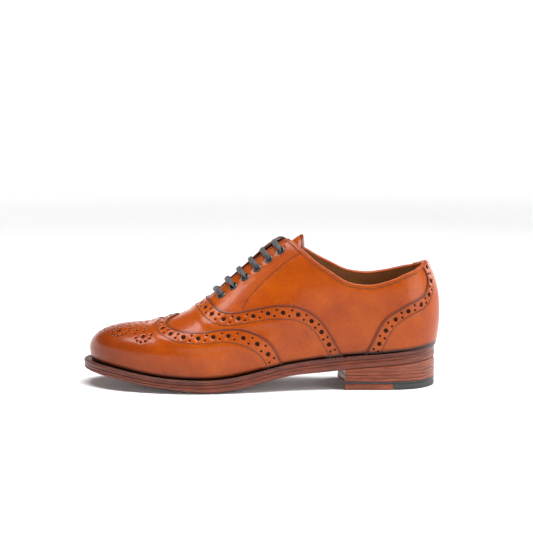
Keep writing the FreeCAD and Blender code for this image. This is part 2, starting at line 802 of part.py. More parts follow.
def height_edge(height, start, end, count=40):
    """The edge of a band: straight for a number, curved for a function of x."""
    if not callable(height):
        return Part.makeLine(FreeCAD.Vector(start, -80, height), FreeCAD.Vector(end, -80, height))
    xs = [start + (end - start) * i / count for i in range(count + 1)]
    return spline_edge([FreeCAD.Vector(x, -80, height(x)) for x in xs])


def side_band(low, high, start=-170.0, end=170.0):
    """Everything between two heights, right across the shoe."""
    bottom, top = height_edge(low, start, end), height_edge(high, start, end)
    front = Part.makeLine(bottom.valueAt(bottom.FirstParameter), top.valueAt(top.FirstParameter))
    back = Part.makeLine(bottom.valueAt(bottom.LastParameter), top.valueAt(top.LastParameter))
    face = Part.Face(Part.Wire(Part.__sortEdges__([bottom, back, top, front])))
    return face.extrude(FreeCAD.Vector(0, 160, 0))


def below_welt(depth):
    return lambda x: WELT_Z(x) - depth


OUTSOLE_TOP = below_welt(WELT_THICKNESS + MIDSOLE_THICKNESS + LAYER_GAP)


def ring(outer, inner):
    return plan_prism(outer).cut(plan_prism(inner))


def outsole():
    return plan_prism(0.0).common(side_band(TREAD_Z, OUTSOLE_TOP))


def midsole():
    band = side_band(below_welt(WELT_THICKNESS + MIDSOLE_THICKNESS),
                     below_welt(WELT_THICKNESS + LAYER_GAP))
    return plan_prism(0.2).common(band)


def welt():
    band = side_band(below_welt(WELT_THICKNESS), WELT_Z, end=HEEL_BREAST_X)
    return ring(0.0, WELT_WIDTH).common(band)


def heel_rand():
    band = side_band(below_welt(WELT_THICKNESS), WELT_Z, start=HEEL_BREAST_X + 0.1)
    return ring(0.0, WELT_WIDTH).common(band)


def insole_rib():
    band = side_band(below_welt(WELT_THICKNESS), below_welt(0.0), end=HEEL_BREAST_X)
    return ring(WELT_WIDTH + 0.1, WELT_WIDTH + 0.1 + RIB_WIDTH).common(band)


FILLER_INSET = WELT_WIDTH + RIB_WIDTH + 0.3
WAIST_START = -14.0
SHANK_HALF_WIDTH = 6.0
SHANK_DEPTHS = (2.2, 0.8)


def cork_filler():
    band = side_band(below_welt(WELT_THICKNESS), below_welt(0.1), end=WAIST_START - 0.5)
    return plan_prism(FILLER_INSET).common(band)


def shank_strip(grow):
    band = side_band(below_welt(SHANK_DEPTHS[0] + grow), below_welt(SHANK_DEPTHS[1] - grow),
                     WAIST_START + 5 - grow, 96 + grow)
    half = SHANK_HALF_WIDTH + grow
    slot = Part.makeBox(400, 2 * half, 90, FreeCAD.Vector(-200, -1 - half, -10))
    return band.common(slot)


def waist_filler():
    band = side_band(below_welt(WELT_THICKNESS), below_welt(0.1), start=WAIST_START)
    return plan_prism(FILLER_INSET).common(band).cut(shank_strip(0.1))


def insole_inset(x):
    return INSET(x) + TUCK(x) - LINING[0] + 0.2


def insole():
    band = side_band(below_welt(-LAYER_GAP), below_welt(-INSOLE_THICKNESS))
    return plan_prism(insole_inset).common(band)


def sock_liner():
    band = side_band(below_welt(-INSOLE_THICKNESS - LAYER_GAP),
                     below_welt(-INSOLE_THICKNESS - SOCK_THICKNESS))
    return plan_prism(lambda x: insole_inset(x) + 0.5).common(band)


def breast_cut():
    """The round that hollows the front face of the heel."""
    deepest_x, deepest_y = HEEL_BREAST_DEEPEST
    axis = FreeCAD.Vector(deepest_x - HEEL_BREAST_RADIUS, deepest_y, -10)
    return Part.makeCylinder(HEEL_BREAST_RADIUS, 90, axis)


def heel_slab(low, high, inset=0.0):
    slab = plan_prism(inset).common(side_band(low, high, start=HEEL_BREAST_X - 5))
    return slab.cut(breast_cut()).cut(nail_holes())


def nail_places():
    """Round the front part of the top piece, then along its breast edge."""
    rim = plan_prism_points(7.0, (84.0, 96.0, 108.0))
    return rim + [(HEEL_BREAST_X + 9.5, y) for y in (-10.0, 0.0, 10.0)]


def plan_prism_points(inset, stations):
    points = []
    for x in stations:
        for side in SIDES:
            points.append(tuple(inset_point(look_up(side, x), inset)))
    return points


def nail_bars(radius, low, high):
    return [Part.makeCylinder(radius, high - low, FreeCAD.Vector(x, y, low))
            for x, y in nail_places()]


def nail_holes():
    return Part.makeCompound(nail_bars(NAIL_RADIUS + 0.05, -1.0, NAIL_LENGTH + 0.5))


def heel_nails():
    return Part.makeCompound(nail_bars(NAIL_RADIUS, 0.25, NAIL_LENGTH))


def top_piece_rubber():
    layer = heel_slab(TOP_PIECE_HEIGHT + LAYER_GAP, TOP_LAYER_HEIGHT)
    block = heel_slab(0.0, TOP_PIECE_HEIGHT + 0.5)
    rear = Part.makeBox(90, 160, 90, FreeCAD.Vector(TOP_PIECE_SPLIT_X + 0.1, -80, -10))
    return layer.fuse(block.common(rear)).removeSplitter()


def top_piece_leather():
    block = heel_slab(0.0, TOP_PIECE_HEIGHT)
    front = Part.makeBox(90, 160, 90, FreeCAD.Vector(TOP_PIECE_SPLIT_X - 90, -80, -10))
    return block.common(front)


def heel_lift(index):
    low = TOP_LAYER_HEIGHT + LAYER_GAP + index * LIFT_THICKNESS
    return heel_slab(low, low + LIFT_THICKNESS - LAYER_GAP)


def heel_wedge():
    low = TOP_LAYER_HEIGHT + LAYER_GAP + LIFT_COUNT * LIFT_THICKNESS
    return heel_slab(low, lambda x: TREAD_Z(x) - LAYER_GAP)


# ---------------------------------------------------------------- the whole shoe
def upper_parts():
    parts = {"toe_cap": toe_cap(), "vamp": vamp(), "counter_cover": counter_cover(),
             "vamp_lining": vamp_lining(), "toe_puff": toe_puff(),
             "heel_stiffener": heel_stiffener()}
    for side in SIDES:
        parts["quarter_" + side] = punched(quarter(side), side)
        parts["quarter_lining_" + side] = punched(quarter_lining(side), side)
        parts["facing_stay_" + side] = punched(facing_stay(side), side)
        parts["topline_binding_" + side] = topline_binding(side)
        rings = [eyelet(row, side) for row in range(EYELET_ROWS)]
        parts["eyelets_" + side] = Part.makeCompound(rings)
    return parts


def inner_parts():
    return {"tongue": tongue_sheet(TONGUE_OUTER), "tongue_lining": tongue_sheet(TONGUE_LINER),
            "lace": lace(), "lace_tips": lace_tips(), "insole": insole(),
            "sock_liner": sock_liner()}


def bottom_parts():
    parts = {"welt": welt(), "heel_rand": heel_rand(), "insole_rib": insole_rib(),
             "cork_filler": cork_filler(), "waist_filler": waist_filler(),
             "shank": shank_strip(0.0), "midsole": midsole(), "outsole": outsole(),
             "heel_wedge": heel_wedge(), "top_piece_rubber": top_piece_rubber(),
             "top_piece_leather": top_piece_leather(), "heel_nails": heel_nails()}
    for index in range(LIFT_COUNT):
        parts["heel_lift_" + str(index + 1)] = heel_lift(index)
    return parts


def main():
    os.makedirs("parts", exist_ok=True)
    for group in (upper_parts(), inner_parts(), bottom_parts()):
        for name, shape in group.items():
            shape.exportStep("parts/" + name + ".step")


main()
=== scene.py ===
import math

import bpy
import numpy as np
from mathutils import Euler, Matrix
from mathutils.geometry import delaunay_2d_cdt


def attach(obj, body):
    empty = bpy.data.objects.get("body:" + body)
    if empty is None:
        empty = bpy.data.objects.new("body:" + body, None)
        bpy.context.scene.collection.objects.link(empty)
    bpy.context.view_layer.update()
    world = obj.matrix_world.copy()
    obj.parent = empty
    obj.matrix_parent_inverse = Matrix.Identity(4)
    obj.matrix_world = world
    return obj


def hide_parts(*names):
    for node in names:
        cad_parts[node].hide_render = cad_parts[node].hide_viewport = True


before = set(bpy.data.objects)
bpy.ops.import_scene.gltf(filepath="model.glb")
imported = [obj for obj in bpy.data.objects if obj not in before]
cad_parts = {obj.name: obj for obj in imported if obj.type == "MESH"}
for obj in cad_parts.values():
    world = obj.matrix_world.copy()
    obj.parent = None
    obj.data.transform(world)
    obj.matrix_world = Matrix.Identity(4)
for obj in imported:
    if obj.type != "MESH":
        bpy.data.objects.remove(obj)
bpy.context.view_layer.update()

# A left full-brogue oxford.  The toe points to -X and the lateral side faces -Y.
# Shapes are worked out in millimetres, as in the model that this scene stands on, and become
# metres when a mesh is made.  The upper is drawn on a flat pattern: p runs along the shoe, and
# q is the distance from the ridge, negative on the lateral side.
MM = 0.001
TOE_FAN_X = -100.0
HEEL_FAN_X = 115.0
FAN_BLEND = 7.0
FAN_REACH = 14.0
SIDES = {"lateral": -1.0, "medial": 1.0}

LEATHER = 1.2
OVERLAY_TOP = 1.1
OVERLAY_BOTTOM = 0.1
LINING = (-3.4, -2.4)
STITCH_INSET = 1.5            # a seam's first row of stitches from its edge
BAND_WIDTH = 11.6             # and its second row
HOLE_ROW = 6.1                # the middle of the punched band
BIG_HOLE_RADIUS = 1.95
SMALL_HOLE_RADIUS = 1.0
HOLE_PITCH = 12.6
PAIR_SPREAD = 2.15            # of a small hole from the middle of the band
HOLE_BEVEL = 0.2
HOLE_DROP = 0.18
HIDDEN_LAP = 7.0              # how far a piece runs on under the next
WELT_OVERRUN = 0.5            # and under the welt line
BACK_SEAM_GAP = 0.12
GROOVE_DEPTH = 0.16
UNDERSIDE = -1.0              # the edge measure of a face that is turned away
STITCH_PITCH = 1.9

WELT_THICKNESS = 3.0
MIDSOLE_THICKNESS = 2.6
HEEL_BREAST_X = 71.0
HEEL_BREAST_RADIUS = 146.0
HEEL_BREAST_DEEPEST = (72.7, -11.0)
TOP_PIECE_HEIGHT = 5.2
TOP_LAYER_HEIGHT = 7.2
TOP_PIECE_SPLIT_X = 112.0
LIFT_THICKNESS = 2.8
LIFT_COUNT = 3

EYELET_OUTER = 3.7
EYELET_HOLE = 2.3
EYELET_ROWS = 6
EYELET_FIRST = (-33.5, 19.2)
EYELET_LAST = (16.9, 16.0)
FACING_GAP = {"lateral": 3.8, "medial": 2.2}   # from the ridge to each facing edge
FACING_MEDIAL_LEAD = -3.5

SOLE_OUTLINE = [
    (149.5, -1), (145, -14.5), (133, -27), (110, -33.5), (80, -34), (50, -35.5), (15, -42.5),
    (-20, -50.5), (-50, -54), (-80, -51.5), (-108, -43.5), (-130.5, -31.5), (-147, -14.5),
    (-153.5, 5), (-149.5, 23.5), (-134, 39), (-112, 49), (-85, 54), (-55, 52), (-22, 42.5),
    (15, 31), (50, 27), (80, 29), (110, 32), (133, 25), (145, 12), (149.5, -1)]


# ---------------------------------------------------------------- smooth curves
class Smooth:
    """A cubic spline through (x, y, ...) knots, natural or closed, for arrays of x."""

    def __init__(self, knots, closed=False):
        table = np.array(knots, float)
        self.x, self.y, self.closed = table[:, 0], table[:, 1:], closed
        n, step = len(self.x), np.diff(self.x)
        slope = np.diff(self.y, axis=0) / step[:, None]
        matrix = np.eye(n)
        right = np.zeros_like(self.y)
        for i in range(0 if closed else 1, n - 1):
            before = i - 1 if i else n - 2
            matrix[i, i] = 2 * (step[before] + step[i])
            matrix[i, before] = step[before]
            matrix[i, i + 1] = step[i]
            right[i] = 6 * (slope[i] - slope[before])
        if closed:
            matrix[-1, 0] = -1.0
        self.bend = np.linalg.solve(matrix, right)

    def __call__(self, at):
        at = np.asarray(at, float)
        x = self.x
        if self.closed:
            at = np.mod(at - x[0], x[-1] - x[0]) + x[0]
        inside = np.clip(at, x[0], x[-1])
        i = np.clip(np.searchsorted(x, inside, side="right") - 1, 0, len(x) - 2)
        step = (x[i + 1] - x[i])[..., None]
        b = (inside - x[i])[..., None] / step
        a = 1 - b
        m, y = self.bend, self.y
        out = a * y[i] + b * y[i + 1]
        out = out + ((a ** 3 - a) * m[i] + (b ** 3 - b) * m[i + 1]) * step ** 2 / 6
        slope = (y[i + 1] - y[i]) / step
        slope = slope + ((1 - 3 * a * a) * m[i] + (3 * b * b - 1) * m[i + 1]) * step / 6
        out = out + slope * (at - inside)[..., None]
        return out[..., 0] if y.shape[1] == 1 else out


def by_length(points, closed=False):
    """A smooth curve through points, and its length measured along the chords."""
    points = np.array(points, float)
    run = np.concatenate([[0], np.cumsum(np.linalg.norm(np.diff(points, axis=0), axis=1))])
    return Smooth(np.column_stack([run, points]), closed), run[-1]


def profile_curve(*knots):
    return Smooth(knots)


OUTLINE, OUTLINE_LENGTH = by_length(SOLE_OUTLINE, closed=True)
TREAD_Z = profile_curve((-153, 12.8), (-125, 8.8), (-92, 4.2), (-60, 0.7), (-42, 0), (-22, 1.6),
                        (0, 6.2), (20, 10.9), (45, 14.3), (71, 17.2), (100, 19.8), (125, 21.8),
                        (150, 24.4))
WELT_Z = profile_curve((-153, 21.6), (-125, 18.2), (-92, 13.4), (-60, 11.0), (-40, 11.0),
                       (-20, 13.2), (0, 17.4), (20, 21.8), (45, 25.2), (71, 28.0), (100, 30.3),
                       (125, 32.6), (150, 35.6))
RIDGE_Z = profile_curve((TOE_FAN_X, 52.6), (-87, 54.7), (-68, 60.9), (-49, 72.0), (-36, 83.3),
                        (-17, 99.8), (3, 116.4), (20, 127.3), (33, 133), (50, 134.6),
                        (75, 131), (HEEL_FAN_X, 125.5))
RIDGE_Y = profile_curve((TOE_FAN_X, 6), (-60, 4.5), (-20, 2.5), (20, 1), (60, 0),
                        (HEEL_FAN_X, -0.5))
INSET = profile_curve((-152, 5.1), (-120, 5.2), (-80, 4.6), (-40, 4.2), (0, 2.6), (40, 1.2),
                      (80, 0.8), (120, 0), (150, -3.0))
TUCK = profile_curve((-152, 1.4), (-60, 1.5), (0, 3), (60, 3.2), (150, 3.0))
BELLY = profile_curve((-152, 9), (-100, 11), (-50, 14), (0, 19), (60, 24), (150, 28))
ROUNDNESS = profile_curve((-152, 2.25), (-100, 2.35), (-70, 2.15), (-40, 1.65), (-15, 1.45),
                          (12, 1.45), (32, 1.75), (50, 1.85), (75, 1.9), (150, 2.0))


# ---------------------------------------------------------------- the last
def inset_points(t, inset):
    """Points of the sole outline moved inwards."""
    way = OUTLINE(t + 0.05) - OUTLINE(t - 0.05)
    way = way / np.linalg.norm(way, axis=-1, keepdims=True)
    inwards = np.stack([way[..., 1], -way[..., 0]], -1)
    return OUTLINE(t) + inwards * np.asarray(inset)[..., None]


def belly_points(t):
    return inset_points(t, INSET(OUTLINE(t)[..., 0]))


def centres(x):
    cx = np.clip(x, TOE_FAN_X, HEEL_FAN_X)
    return np.stack([cx, RIDGE_Y(cx)], -1)


def perimeter_tables(count=1440):
    """Pairs of arrays that turn a place of the pattern into a place along the outline."""
    t = np.linspace(0, OUTLINE_LENGTH, count + 1)
    x, y = belly_points(t).T
    turn = t[np.argmin(OUTLINE(t)[:, 0])]
    middle = (x > TOE_FAN_X - 2) & (x < HEEL_FAN_X + 2)
    around_toe = np.arctan2(y - RIDGE_Y(TOE_FAN_X), TOE_FAN_X - x)
    around_heel = np.arctan2(y - RIDGE_Y(HEEL_FAN_X), x - HEEL_FAN_X)
    behind = np.where(t < turn, t, t - OUTLINE_LENGTH)
    picks = {"lateral": (middle & (t < turn), x, t), "medial": (middle & (t >= turn), x, t),
             "toe": (x < TOE_FAN_X + 2, around_toe, t),
             "heel": (x > HEEL_FAN_X - 2, around_heel, behind)}
    tables = {}
    for name, (mask, key, value) in picks.items():
        order = np.argsort(key[mask])
        tables[name] = (key[mask][order], value[mask][order])
    return tables


TABLES = perimeter_tables()


def look_up(name, key):
    return np.interp(key, *TABLES[name])


def locate(p, q):
    """Places along the outline, and distances from the ridge, of pattern points."""
    t = np.where(q < 0, look_up("lateral", p), look_up("medial", p))
    along = np.abs(q)
    toe, heel = p < TOE_FAN_X, p > HEEL_FAN_X
    t = np.where(toe, look_up("toe", np.arctan2(q, TOE_FAN_X - p)), t)
    t = np.where(heel, look_up("heel", np.arctan2(q, p - HEEL_FAN_X)), t)
    along = np.where(toe, np.hypot(p - TOE_FAN_X, q), along)
    along = np.where(heel, np.hypot(p - HEEL_FAN_X, q), along)
    return t, along


DOME_STEPS = 60
WALL_STEPS = 16
DOME_ANGLES = np.linspace(1e-7, math.pi / 2, DOME_STEPS + 1)


def section(t):
    """The cross-sections of the last through places along the outline."""
    belly = belly_points(t)
    centre = centres(belly[..., 0])
    reach = np.linalg.norm(belly - centre, axis=-1)
    x = OUTLINE(t)[..., 0]
    floor = WELT_Z(x)
    waist = floor + BELLY(x)
    return {"centre": centre, "way": (belly - centre) / reach[..., None], "reach": reach,
            "floor": floor, "waist": waist, "height": RIDGE_Z(centre[..., 0]) - waist,
            "power": ROUNDNESS(x), "tuck": TUCK(x)}


def dome_points(cut, angle):
    sine, cosine = np.sin(angle), np.maximum(np.cos(angle), 1e-9)
    power = cut["power"]
    size = ((sine / cut["reach"]) ** power + (cosine / cut["height"]) ** power) ** (-1 / power)
    return size * sine, cut["waist"] + size * cosine


def wall_points(cut, u):
    return cut["reach"] - cut["tuck"] * u * u, cut["waist"] - (cut["waist"] - cut["floor"]) * u


def section_run(cut):
    """Distances from the ridge of steps down each section."""
    wide = {key: value[..., None] for key, value in cut.items() if key not in ("centre", "way")}
    r0, z0 = dome_points(wide, DOME_ANGLES)
    r1, z1 = wall_points(wide, np.arange(1, WALL_STEPS + 1) / WALL_STEPS)
    r, z = np.concatenate([r0, r1], -1), np.concatenate([z0, z1], -1)
    steps = np.hypot(np.diff(r, axis=-1), np.diff(z, axis=-1))
    return np.concatenate([np.zeros(steps.shape[:-1] + (1,)), np.cumsum(steps, -1)], -1)


def girth(t):
    return section_run(section(np.atleast_1d(t)))[..., -1]


def bare_points(p, q):
    t, along = locate(p, q)
    cut = section(t)
    run = section_run(cut)
    i = np.clip((run < along[:, None]).sum(1) - 1, 0, DOME_STEPS + WALL_STEPS - 1)
    row = np.arange(len(along))
    share = i + (along - run[row, i]) / (run[row, i + 1] - run[row, i])
    angle = math.pi / 2 * np.clip(share / DOME_STEPS, 1e-7, 1)
    r, z = dome_points(cut, angle)
    low_r, low_z = wall_points(cut, (share - DOME_STEPS) / WALL_STEPS)
    on_dome = share < DOME_STEPS
    r, z = np.where(on_dome, r, low_r), np.where(on_dome, z, low_z)
    return np.column_stack([cut["centre"] + cut["way"] * r[:, None], z])


def skin(p, q):
    """Points of the visible skin, softened where the fans begin."""
    shift = FAN_BLEND * (np.exp(-((p - TOE_FAN_X) / FAN_REACH) ** 2)
                         + np.exp(-((p - HEEL_FAN_X) / FAN_REACH) ** 2))
    ends = bare_points(p - shift, q) + bare_points(p + shift, q)
    return bare_points(p, q) * 0.5 + ends * 0.25


def outward(p, q, step=0.6):
    along = skin(p + step, q) - skin(p - step, q)
    side = skin(p, q + step) - skin(p, q - step)
    normal = np.cross(along, side)
    return normal / np.linalg.norm(normal, axis=1, keepdims=True)


def lifted(pattern, lift):
    """Pattern points raised off the skin, in millimetres."""
    pattern = np.asarray(pattern, float)
    p, q = pattern[:, 0], pattern[:, 1]
    return skin(p, q) + outward(p, q) * np.reshape(lift, (-1, 1))


def feather_places(t, beyond=0.0):
    """Pattern points where the skin meets the welt."""
    t = np.atleast_1d(t)
    cut = section(t)
    along = section_run(cut)[..., -1] + beyond
    cx, way = cut["centre"][:, 0], cut["way"]
    x = belly_points(t)[:, 0]
    straight = (x > TOE_FAN_X) & (x < HEEL_FAN_X)
    p = np.where(straight, cx, cx + way[:, 0] * along)
    q = np.where(straight, np.copysign(along, way[:, 1]), way[:, 1] * along)
    return np.column_stack([p, q])


def feather_at(x, side):
    return tuple(feather_places(look_up(side, x))[0])


def across(points):
    """Lateral pattern points carried over to the medial side."""
    points = np.asarray(points, float)
    p, q = points.T
    t, along = locate(p, q)
    share = along / girth(t)
    mirrored = np.where(p < TOE_FAN_X, look_up("toe", np.arctan2(-q, TOE_FAN_X - p)),
                        look_up("medial", p))
    mirrored = np.where(p > HEEL_FAN_X, look_up("heel", np.arctan2(-q, p - HEEL_FAN_X)),
                        mirrored)
    reach = share * girth(mirrored)
    scale = reach / np.maximum(along, 1e-9)
    fan = np.where(p < TOE_FAN_X, TOE_FAN_X, HEEL_FAN_X)
    straight = (p >= TOE_FAN_X) & (p <= HEEL_FAN_X)
    return np.column_stack([np.where(straight, p, fan + (p - fan) * scale), -q * scale])


def on_side(points, side):
    """Lateral pattern points as a list for either side."""
    places = points if side == "lateral" else across(points)
    return [tuple(place) for place in places]


# ---------------------------------------------------------------- seams of the pattern
def seam(points):
    """A smooth seam as a function from 0 to 1."""
    curve, length = by_length(points)
    return lambda v: curve(np.asarray(v, float) * length)


def polyline_run(points):
    steps = np.linalg.norm(np.diff(points, axis=0), axis=1)
    return np.concatenate([[0], np.cumsum(steps)])


def evenly(points, spacing, closed=False):
    """The same path with even steps."""
    points = np.asarray(points, float)
    if closed:
        points = np.vstack([points, points[:1]])
    run = polyline_run(points)
    count = max(int(round(run[-1] / spacing)), 3)
    at = np.linspace(0, run[-1], count + 1)
    path = np.column_stack([np.interp(at, run, column) for column in points.T])
    return path[:-1] if closed else path


def drawn(curve, count):
    return curve(np.linspace(0, 1, count + 1))


WING = [(8, -91), (-2.5, -77.5), (-16, -65), (-30, -56.5), (-51, -48.5), (-66, -42),
        (-76.5, -31), (-79, -17.5), (-75, -6.5)]
WING_PEAK = (-70.5, 0.0)
WING_FOOT_X = 19.0
VAMP = [(59, -98), (50.5, -86.8), (39.5, -78.6), (25.5, -70), (11.5, -62), (-2.5, -55.5),
        (-15.5, -49.5), (-25, -44.5), (-34, -35.5), (-39.8, -24), (-43.5, -11)]
VAMP_THROAT = (-45.0, 0.0)
VAMP_FOOT_X = 70.0
COUNTER = [(93.5, -99.4), (98.5, -87.8), (107, -76), (124, -67), (147, -53.5), (157.5, -38.5),
           (155, -25)]
COUNTER_TOP = [(145.5, 21.5), (148.5, 11)]
COUNTER_FOOT_X = 87.0
TOPLINE = [(26.5, -12.6), (32.3, -22.3), (39.2, -31), (46.1, -37.7), (53.1, -42.5),
           (61.4, -47.1), (72, -52), (82.7, -53.2), (93.3, -52.4), (104.1, -49),
           (115.8, -44), (131.6, -36), (145.5, -21.5)]
HEEL_TOP = (150.5, 0.0)
COLLAR_MEDIAL_RISE = 8.0
COLLAR_MIDDLE_P = 72.0
COLLAR_SPREAD = 48.0
FACING_LEAD_SPREAD = 8.0
STAY_LINE = [(33.3, -28.5), (18.6, -30.7), (4.5, -34), (-5.9, -38.5), (-12.2, -42.7),
             (-15.6, -48)]


def whole_seam(foot_x, points, middle):
    """A seam that runs over the shoe from one side's welt to the other's."""
    near = [feather_at(foot_x, "lateral")] + list(points)
    far = [feather_at(foot_x, "medial")] + on_side(points, "medial")
    return seam(near + [middle] + far[::-1])


def feather_run(start, end, count):
    """The welt line between two places along the outline."""
    return feather_places(np.linspace(start, end, count + 1), WELT_OVERRUN)


def topline_points(side):
    """The topline of one side; the medial one is higher."""
    if side == "lateral":
        return TOPLINE
    raised = []
    for p, q in TOPLINE:
        rise = COLLAR_MEDIAL_RISE * math.exp(-((p - COLLAR_MIDDLE_P) / COLLAR_SPREAD) ** 2)
        lead = FACING_MEDIAL_LEAD * math.exp(-((p - TOPLINE[0][0]) / FACING_LEAD_SPREAD) ** 2)
        raised.append((p + lead, q + rise))
    return on_side(raised, side)


def facing_points(side):
    sign, gap = SIDES[side], FACING_GAP[side]
    lead = FACING_MEDIAL_LEAD if side == "medial" else 0.0
    edge = [(-46.0, gap), (-36, gap), (-20, gap), (0, gap), (16 + lead, gap + 0.2),
            (20.0 + lead, gap + 1.0), (23.5 + lead, gap + 3.5)]
    return [(p, sign * q) for p, q in edge]


WING_SEAM = whole_seam(WING_FOOT_X, WING, WING_PEAK)
VAMP_SEAM = whole_seam(VAMP_FOOT_X, VAMP, VAMP_THROAT)
WING_LINE = drawn(WING_SEAM, count=400)
VAMP_LINE = drawn(VAMP_SEAM, count=400)


def beside(path, distance):
    """A path that runs beside another, cleaned of its own crossings."""
    way = np.gradient(path, axis=0)
    way /= np.linalg.norm(way, axis=1, keepdims=True)
    moved = path + distance * np.column_stack([-way[:, 1], way[:, 0]])
    gap = distance_to(moved, path)
    return moved[gap > abs(distance) - 0.25]


def distance_to(points, path):
    """How far pattern points are from a path."""
    a, b = path[:-1], path[1:]
    best = np.full(len(points), 1e9)
    span = b - a
    size = np.maximum((span ** 2).sum(1), 1e-12)
    for start in range(0, len(points), 4000):
        part = points[start:start + 4000]
        share = np.einsum("ijk,jk->ij", part[:, None] - a[None], span) / size
        near = a[None] + np.clip(share, 0, 1)[..., None] * span[None]
        gap = np.linalg.norm(part[:, None] - near, axis=2).min(1)
        best[start:start + 4000] = gap
    return best


def smoothstep(low, high, value):
    share = np.clip((value - low) / (high - low), 0, 1)
    return share * share * (3 - 2 * share)


def inside(points, polygon):
    """Which points lie within a closed polygon."""
    x, y = points.T
    hit = np.zeros(len(points), bool)
    for (x0, y0), (x1, y1) in zip(polygon, np.roll(polygon, -1, axis=0)):
        crosses = (y0 > y) != (y1 > y)
        if y0 != y1:
            hit ^= crosses & (x < (x1 - x0) * (y - y0) / (y1 - y0) + x0)
    return hit


# ---------------------------------------------------------------- meshes
def make_object(name, vertices, faces, materials, face_slots=None, sharp_angle=50):
    """A mesh object from points in millimetres."""
    mesh = bpy.data.meshes.new(name)
    scaled = (np.asarray(vertices) * MM).tolist()
    mesh.from_pydata(scaled, [], [tuple(int(i) for i in face) for face in faces])
    for material in materials:
        mesh.materials.append(material)
    if face_slots is not None:
        mesh.polygons.foreach_set("material_index", np.asarray(face_slots, np.int32))
    mesh.polygons.foreach_set("use_smooth", np.ones(len(mesh.polygons), bool))
    mesh.update()
    mesh.set_sharp_from_angle(angle=math.radians(sharp_angle))
    piece = bpy.data.objects.new(name, mesh)
    bpy.context.scene.collection.objects.link(piece)
    return piece


def hand_over(piece, body="shoe", nodes=()):
    """Puts a finished piece on its body, in place of the model's own solids."""
    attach(piece, body)
    if nodes:
        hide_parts(*nodes)


def add_measure(piece, name, values):
    """A number on each vertex for the material to read."""
    layer = piece.data.attributes.new(name, "FLOAT", "POINT")
    layer.data.foreach_set("value", np.asarray(values, np.float32))


def inset_loop(loop, distance):
    """A closed loop, run anticlockwise, moved towards its inside."""
    way = np.roll(loop, -1, axis=0) - np.roll(loop, 1, axis=0)
    way /= np.maximum(np.linalg.norm(way, axis=1, keepdims=True), 1e-9)
    return loop + distance * np.column_stack([-way[:, 1], way[:, 0]])


def anticlockwise(loop):
    x, y = loop.T
    area = (x * np.roll(y, -1) - y * np.roll(x, -1)).sum()
    return loop if area > 0 else loop[::-1]


def filling(loop, spacing, margin):
    """Rows of points inside a loop, clear of its edge."""
    low, high = loop.min(0), loop.max(0)
    rows = []
    for k, q in enumerate(np.arange(low[1], high[1], spacing * 0.87)):
        p = np.arange(low[0] + (k % 2) * spacing / 2, high[0], spacing)
        rows.append(np.column_stack([p, np.full(len(p), q)]))
    points = np.vstack(rows)
    points = points[inside(points, loop)]
    closed = np.vstack([loop, loop[:1]])
    return points[distance_to(points, closed) > margin]


def triangles_of(points, edges):
    """Anticlockwise triangles over points, with some edges kept."""
    result = delaunay_2d_cdt([tuple(point) for point in points.tolist()], edges, [], 0, 1e-6)
    origin = [sources[0] if sources else -1 for sources in result[3]]
    faces = np.array([[origin[i] for i in face] for face in result[2]])
    faces = faces[faces.min(axis=1) >= 0]
    a, b, c = (points[faces[:, k]] for k in range(3))
    area = (b[:, 0] - a[:, 0]) * (c[:, 1] - a[:, 1]) - (b[:, 1] - a[:, 1]) * (c[:, 0] - a[:, 0])
    faces[area < 0] = faces[area < 0][:, ::-1]
    return faces[np.abs(area) > 1e-9]


CUT_EDGE = ((0.0, 0.42), (0.14, 0.14), (0.42, 0.0))   # inset and drop of a rounded cut edge


class Layout:
    """Points and edges of a flat piece before it is put on the last."""

    def __init__(self):
        self.points, self.drops, self.edges = [], [], []

    def add(self, points, drop, closed):
        start, count = len(self.points), len(points)
        self.points.extend(map(tuple, points))
        self.drops.extend([drop] * count)
        if closed:
            self.edges += [(start + i, start + (i + 1) % count) for i in range(count)]
        return list(range(start, start + count))


def rounding(places, step=0.5):
    """Matrices that undo the pattern's stretch, so that holes come out round on the last."""
    p, q = np.array(places).T
    along = (skin(p + step, q) - skin(p - step, q)) / (2 * step)
    sideways = (skin(p, q + step) - skin(p, q - step)) / (2 * step)
    slopes = np.stack([along, sideways], axis=2)
    values, vectors = np.linalg.eigh(slopes.transpose(0, 2, 1) @ slopes)
    return (vectors / np.sqrt(values)[:, None, :]) @ vectors.transpose(0, 2, 1)


def lay_out(loop, holes, grooves, spacing):
    """The pattern points of a piece: rounded edge, holes, stitch grooves and filling."""
    layout = Layout()
    rings = [layout.add(inset_loop(loop, inset), drop, True) for inset, drop in CUT_EDGE]
    fill = filling(loop, spacing, CUT_EDGE[-1][0] + spacing * 0.45)
    hole_rings = []
    unstretch = rounding([place for place, _ in holes]) if len(holes) else []
    for ((p, q), radius), matrix in zip(holes, unstretch):
        count = 20 if radius > SMALL_HOLE_RADIUS else 12
        angle = np.arange(count) * 2 * math.pi / count
        ring = np.column_stack([np.cos(angle), np.sin(angle)]) @ matrix
        hole_rings.append(layout.add(ring * radius + (p, q), HOLE_DROP, True))
        layout.add(ring * (radius + HOLE_BEVEL) + (p, q), 0.0, True)
        clear = radius + HOLE_BEVEL + spacing * 0.35
        fill = fill[np.hypot(fill[:, 0] - p, fill[:, 1] - q) > clear]
    for path in grooves:
        path = evenly(path, 1.0)
        path = path[inside(path, inset_loop(loop, 0.9))]
        if len(path):
            fill = fill[distance_to(fill, path) > spacing * 0.4]
            layout.add(path, GROOVE_DEPTH, False)
    layout.add(fill, 0.0, False)
    return layout, rings[0], hole_rings


def over_holes(triangles, hole_rings, count):
    """Which triangles span a hole."""
    owner = np.full(count, -1)
    for k, ring in enumerate(hole_rings):
        owner[ring] = k
    mine = owner[triangles]
    return (mine[:, 0] >= 0) & (mine[:, 0] == mine[:, 1]) & (mine[:, 0] == mine[:, 2])


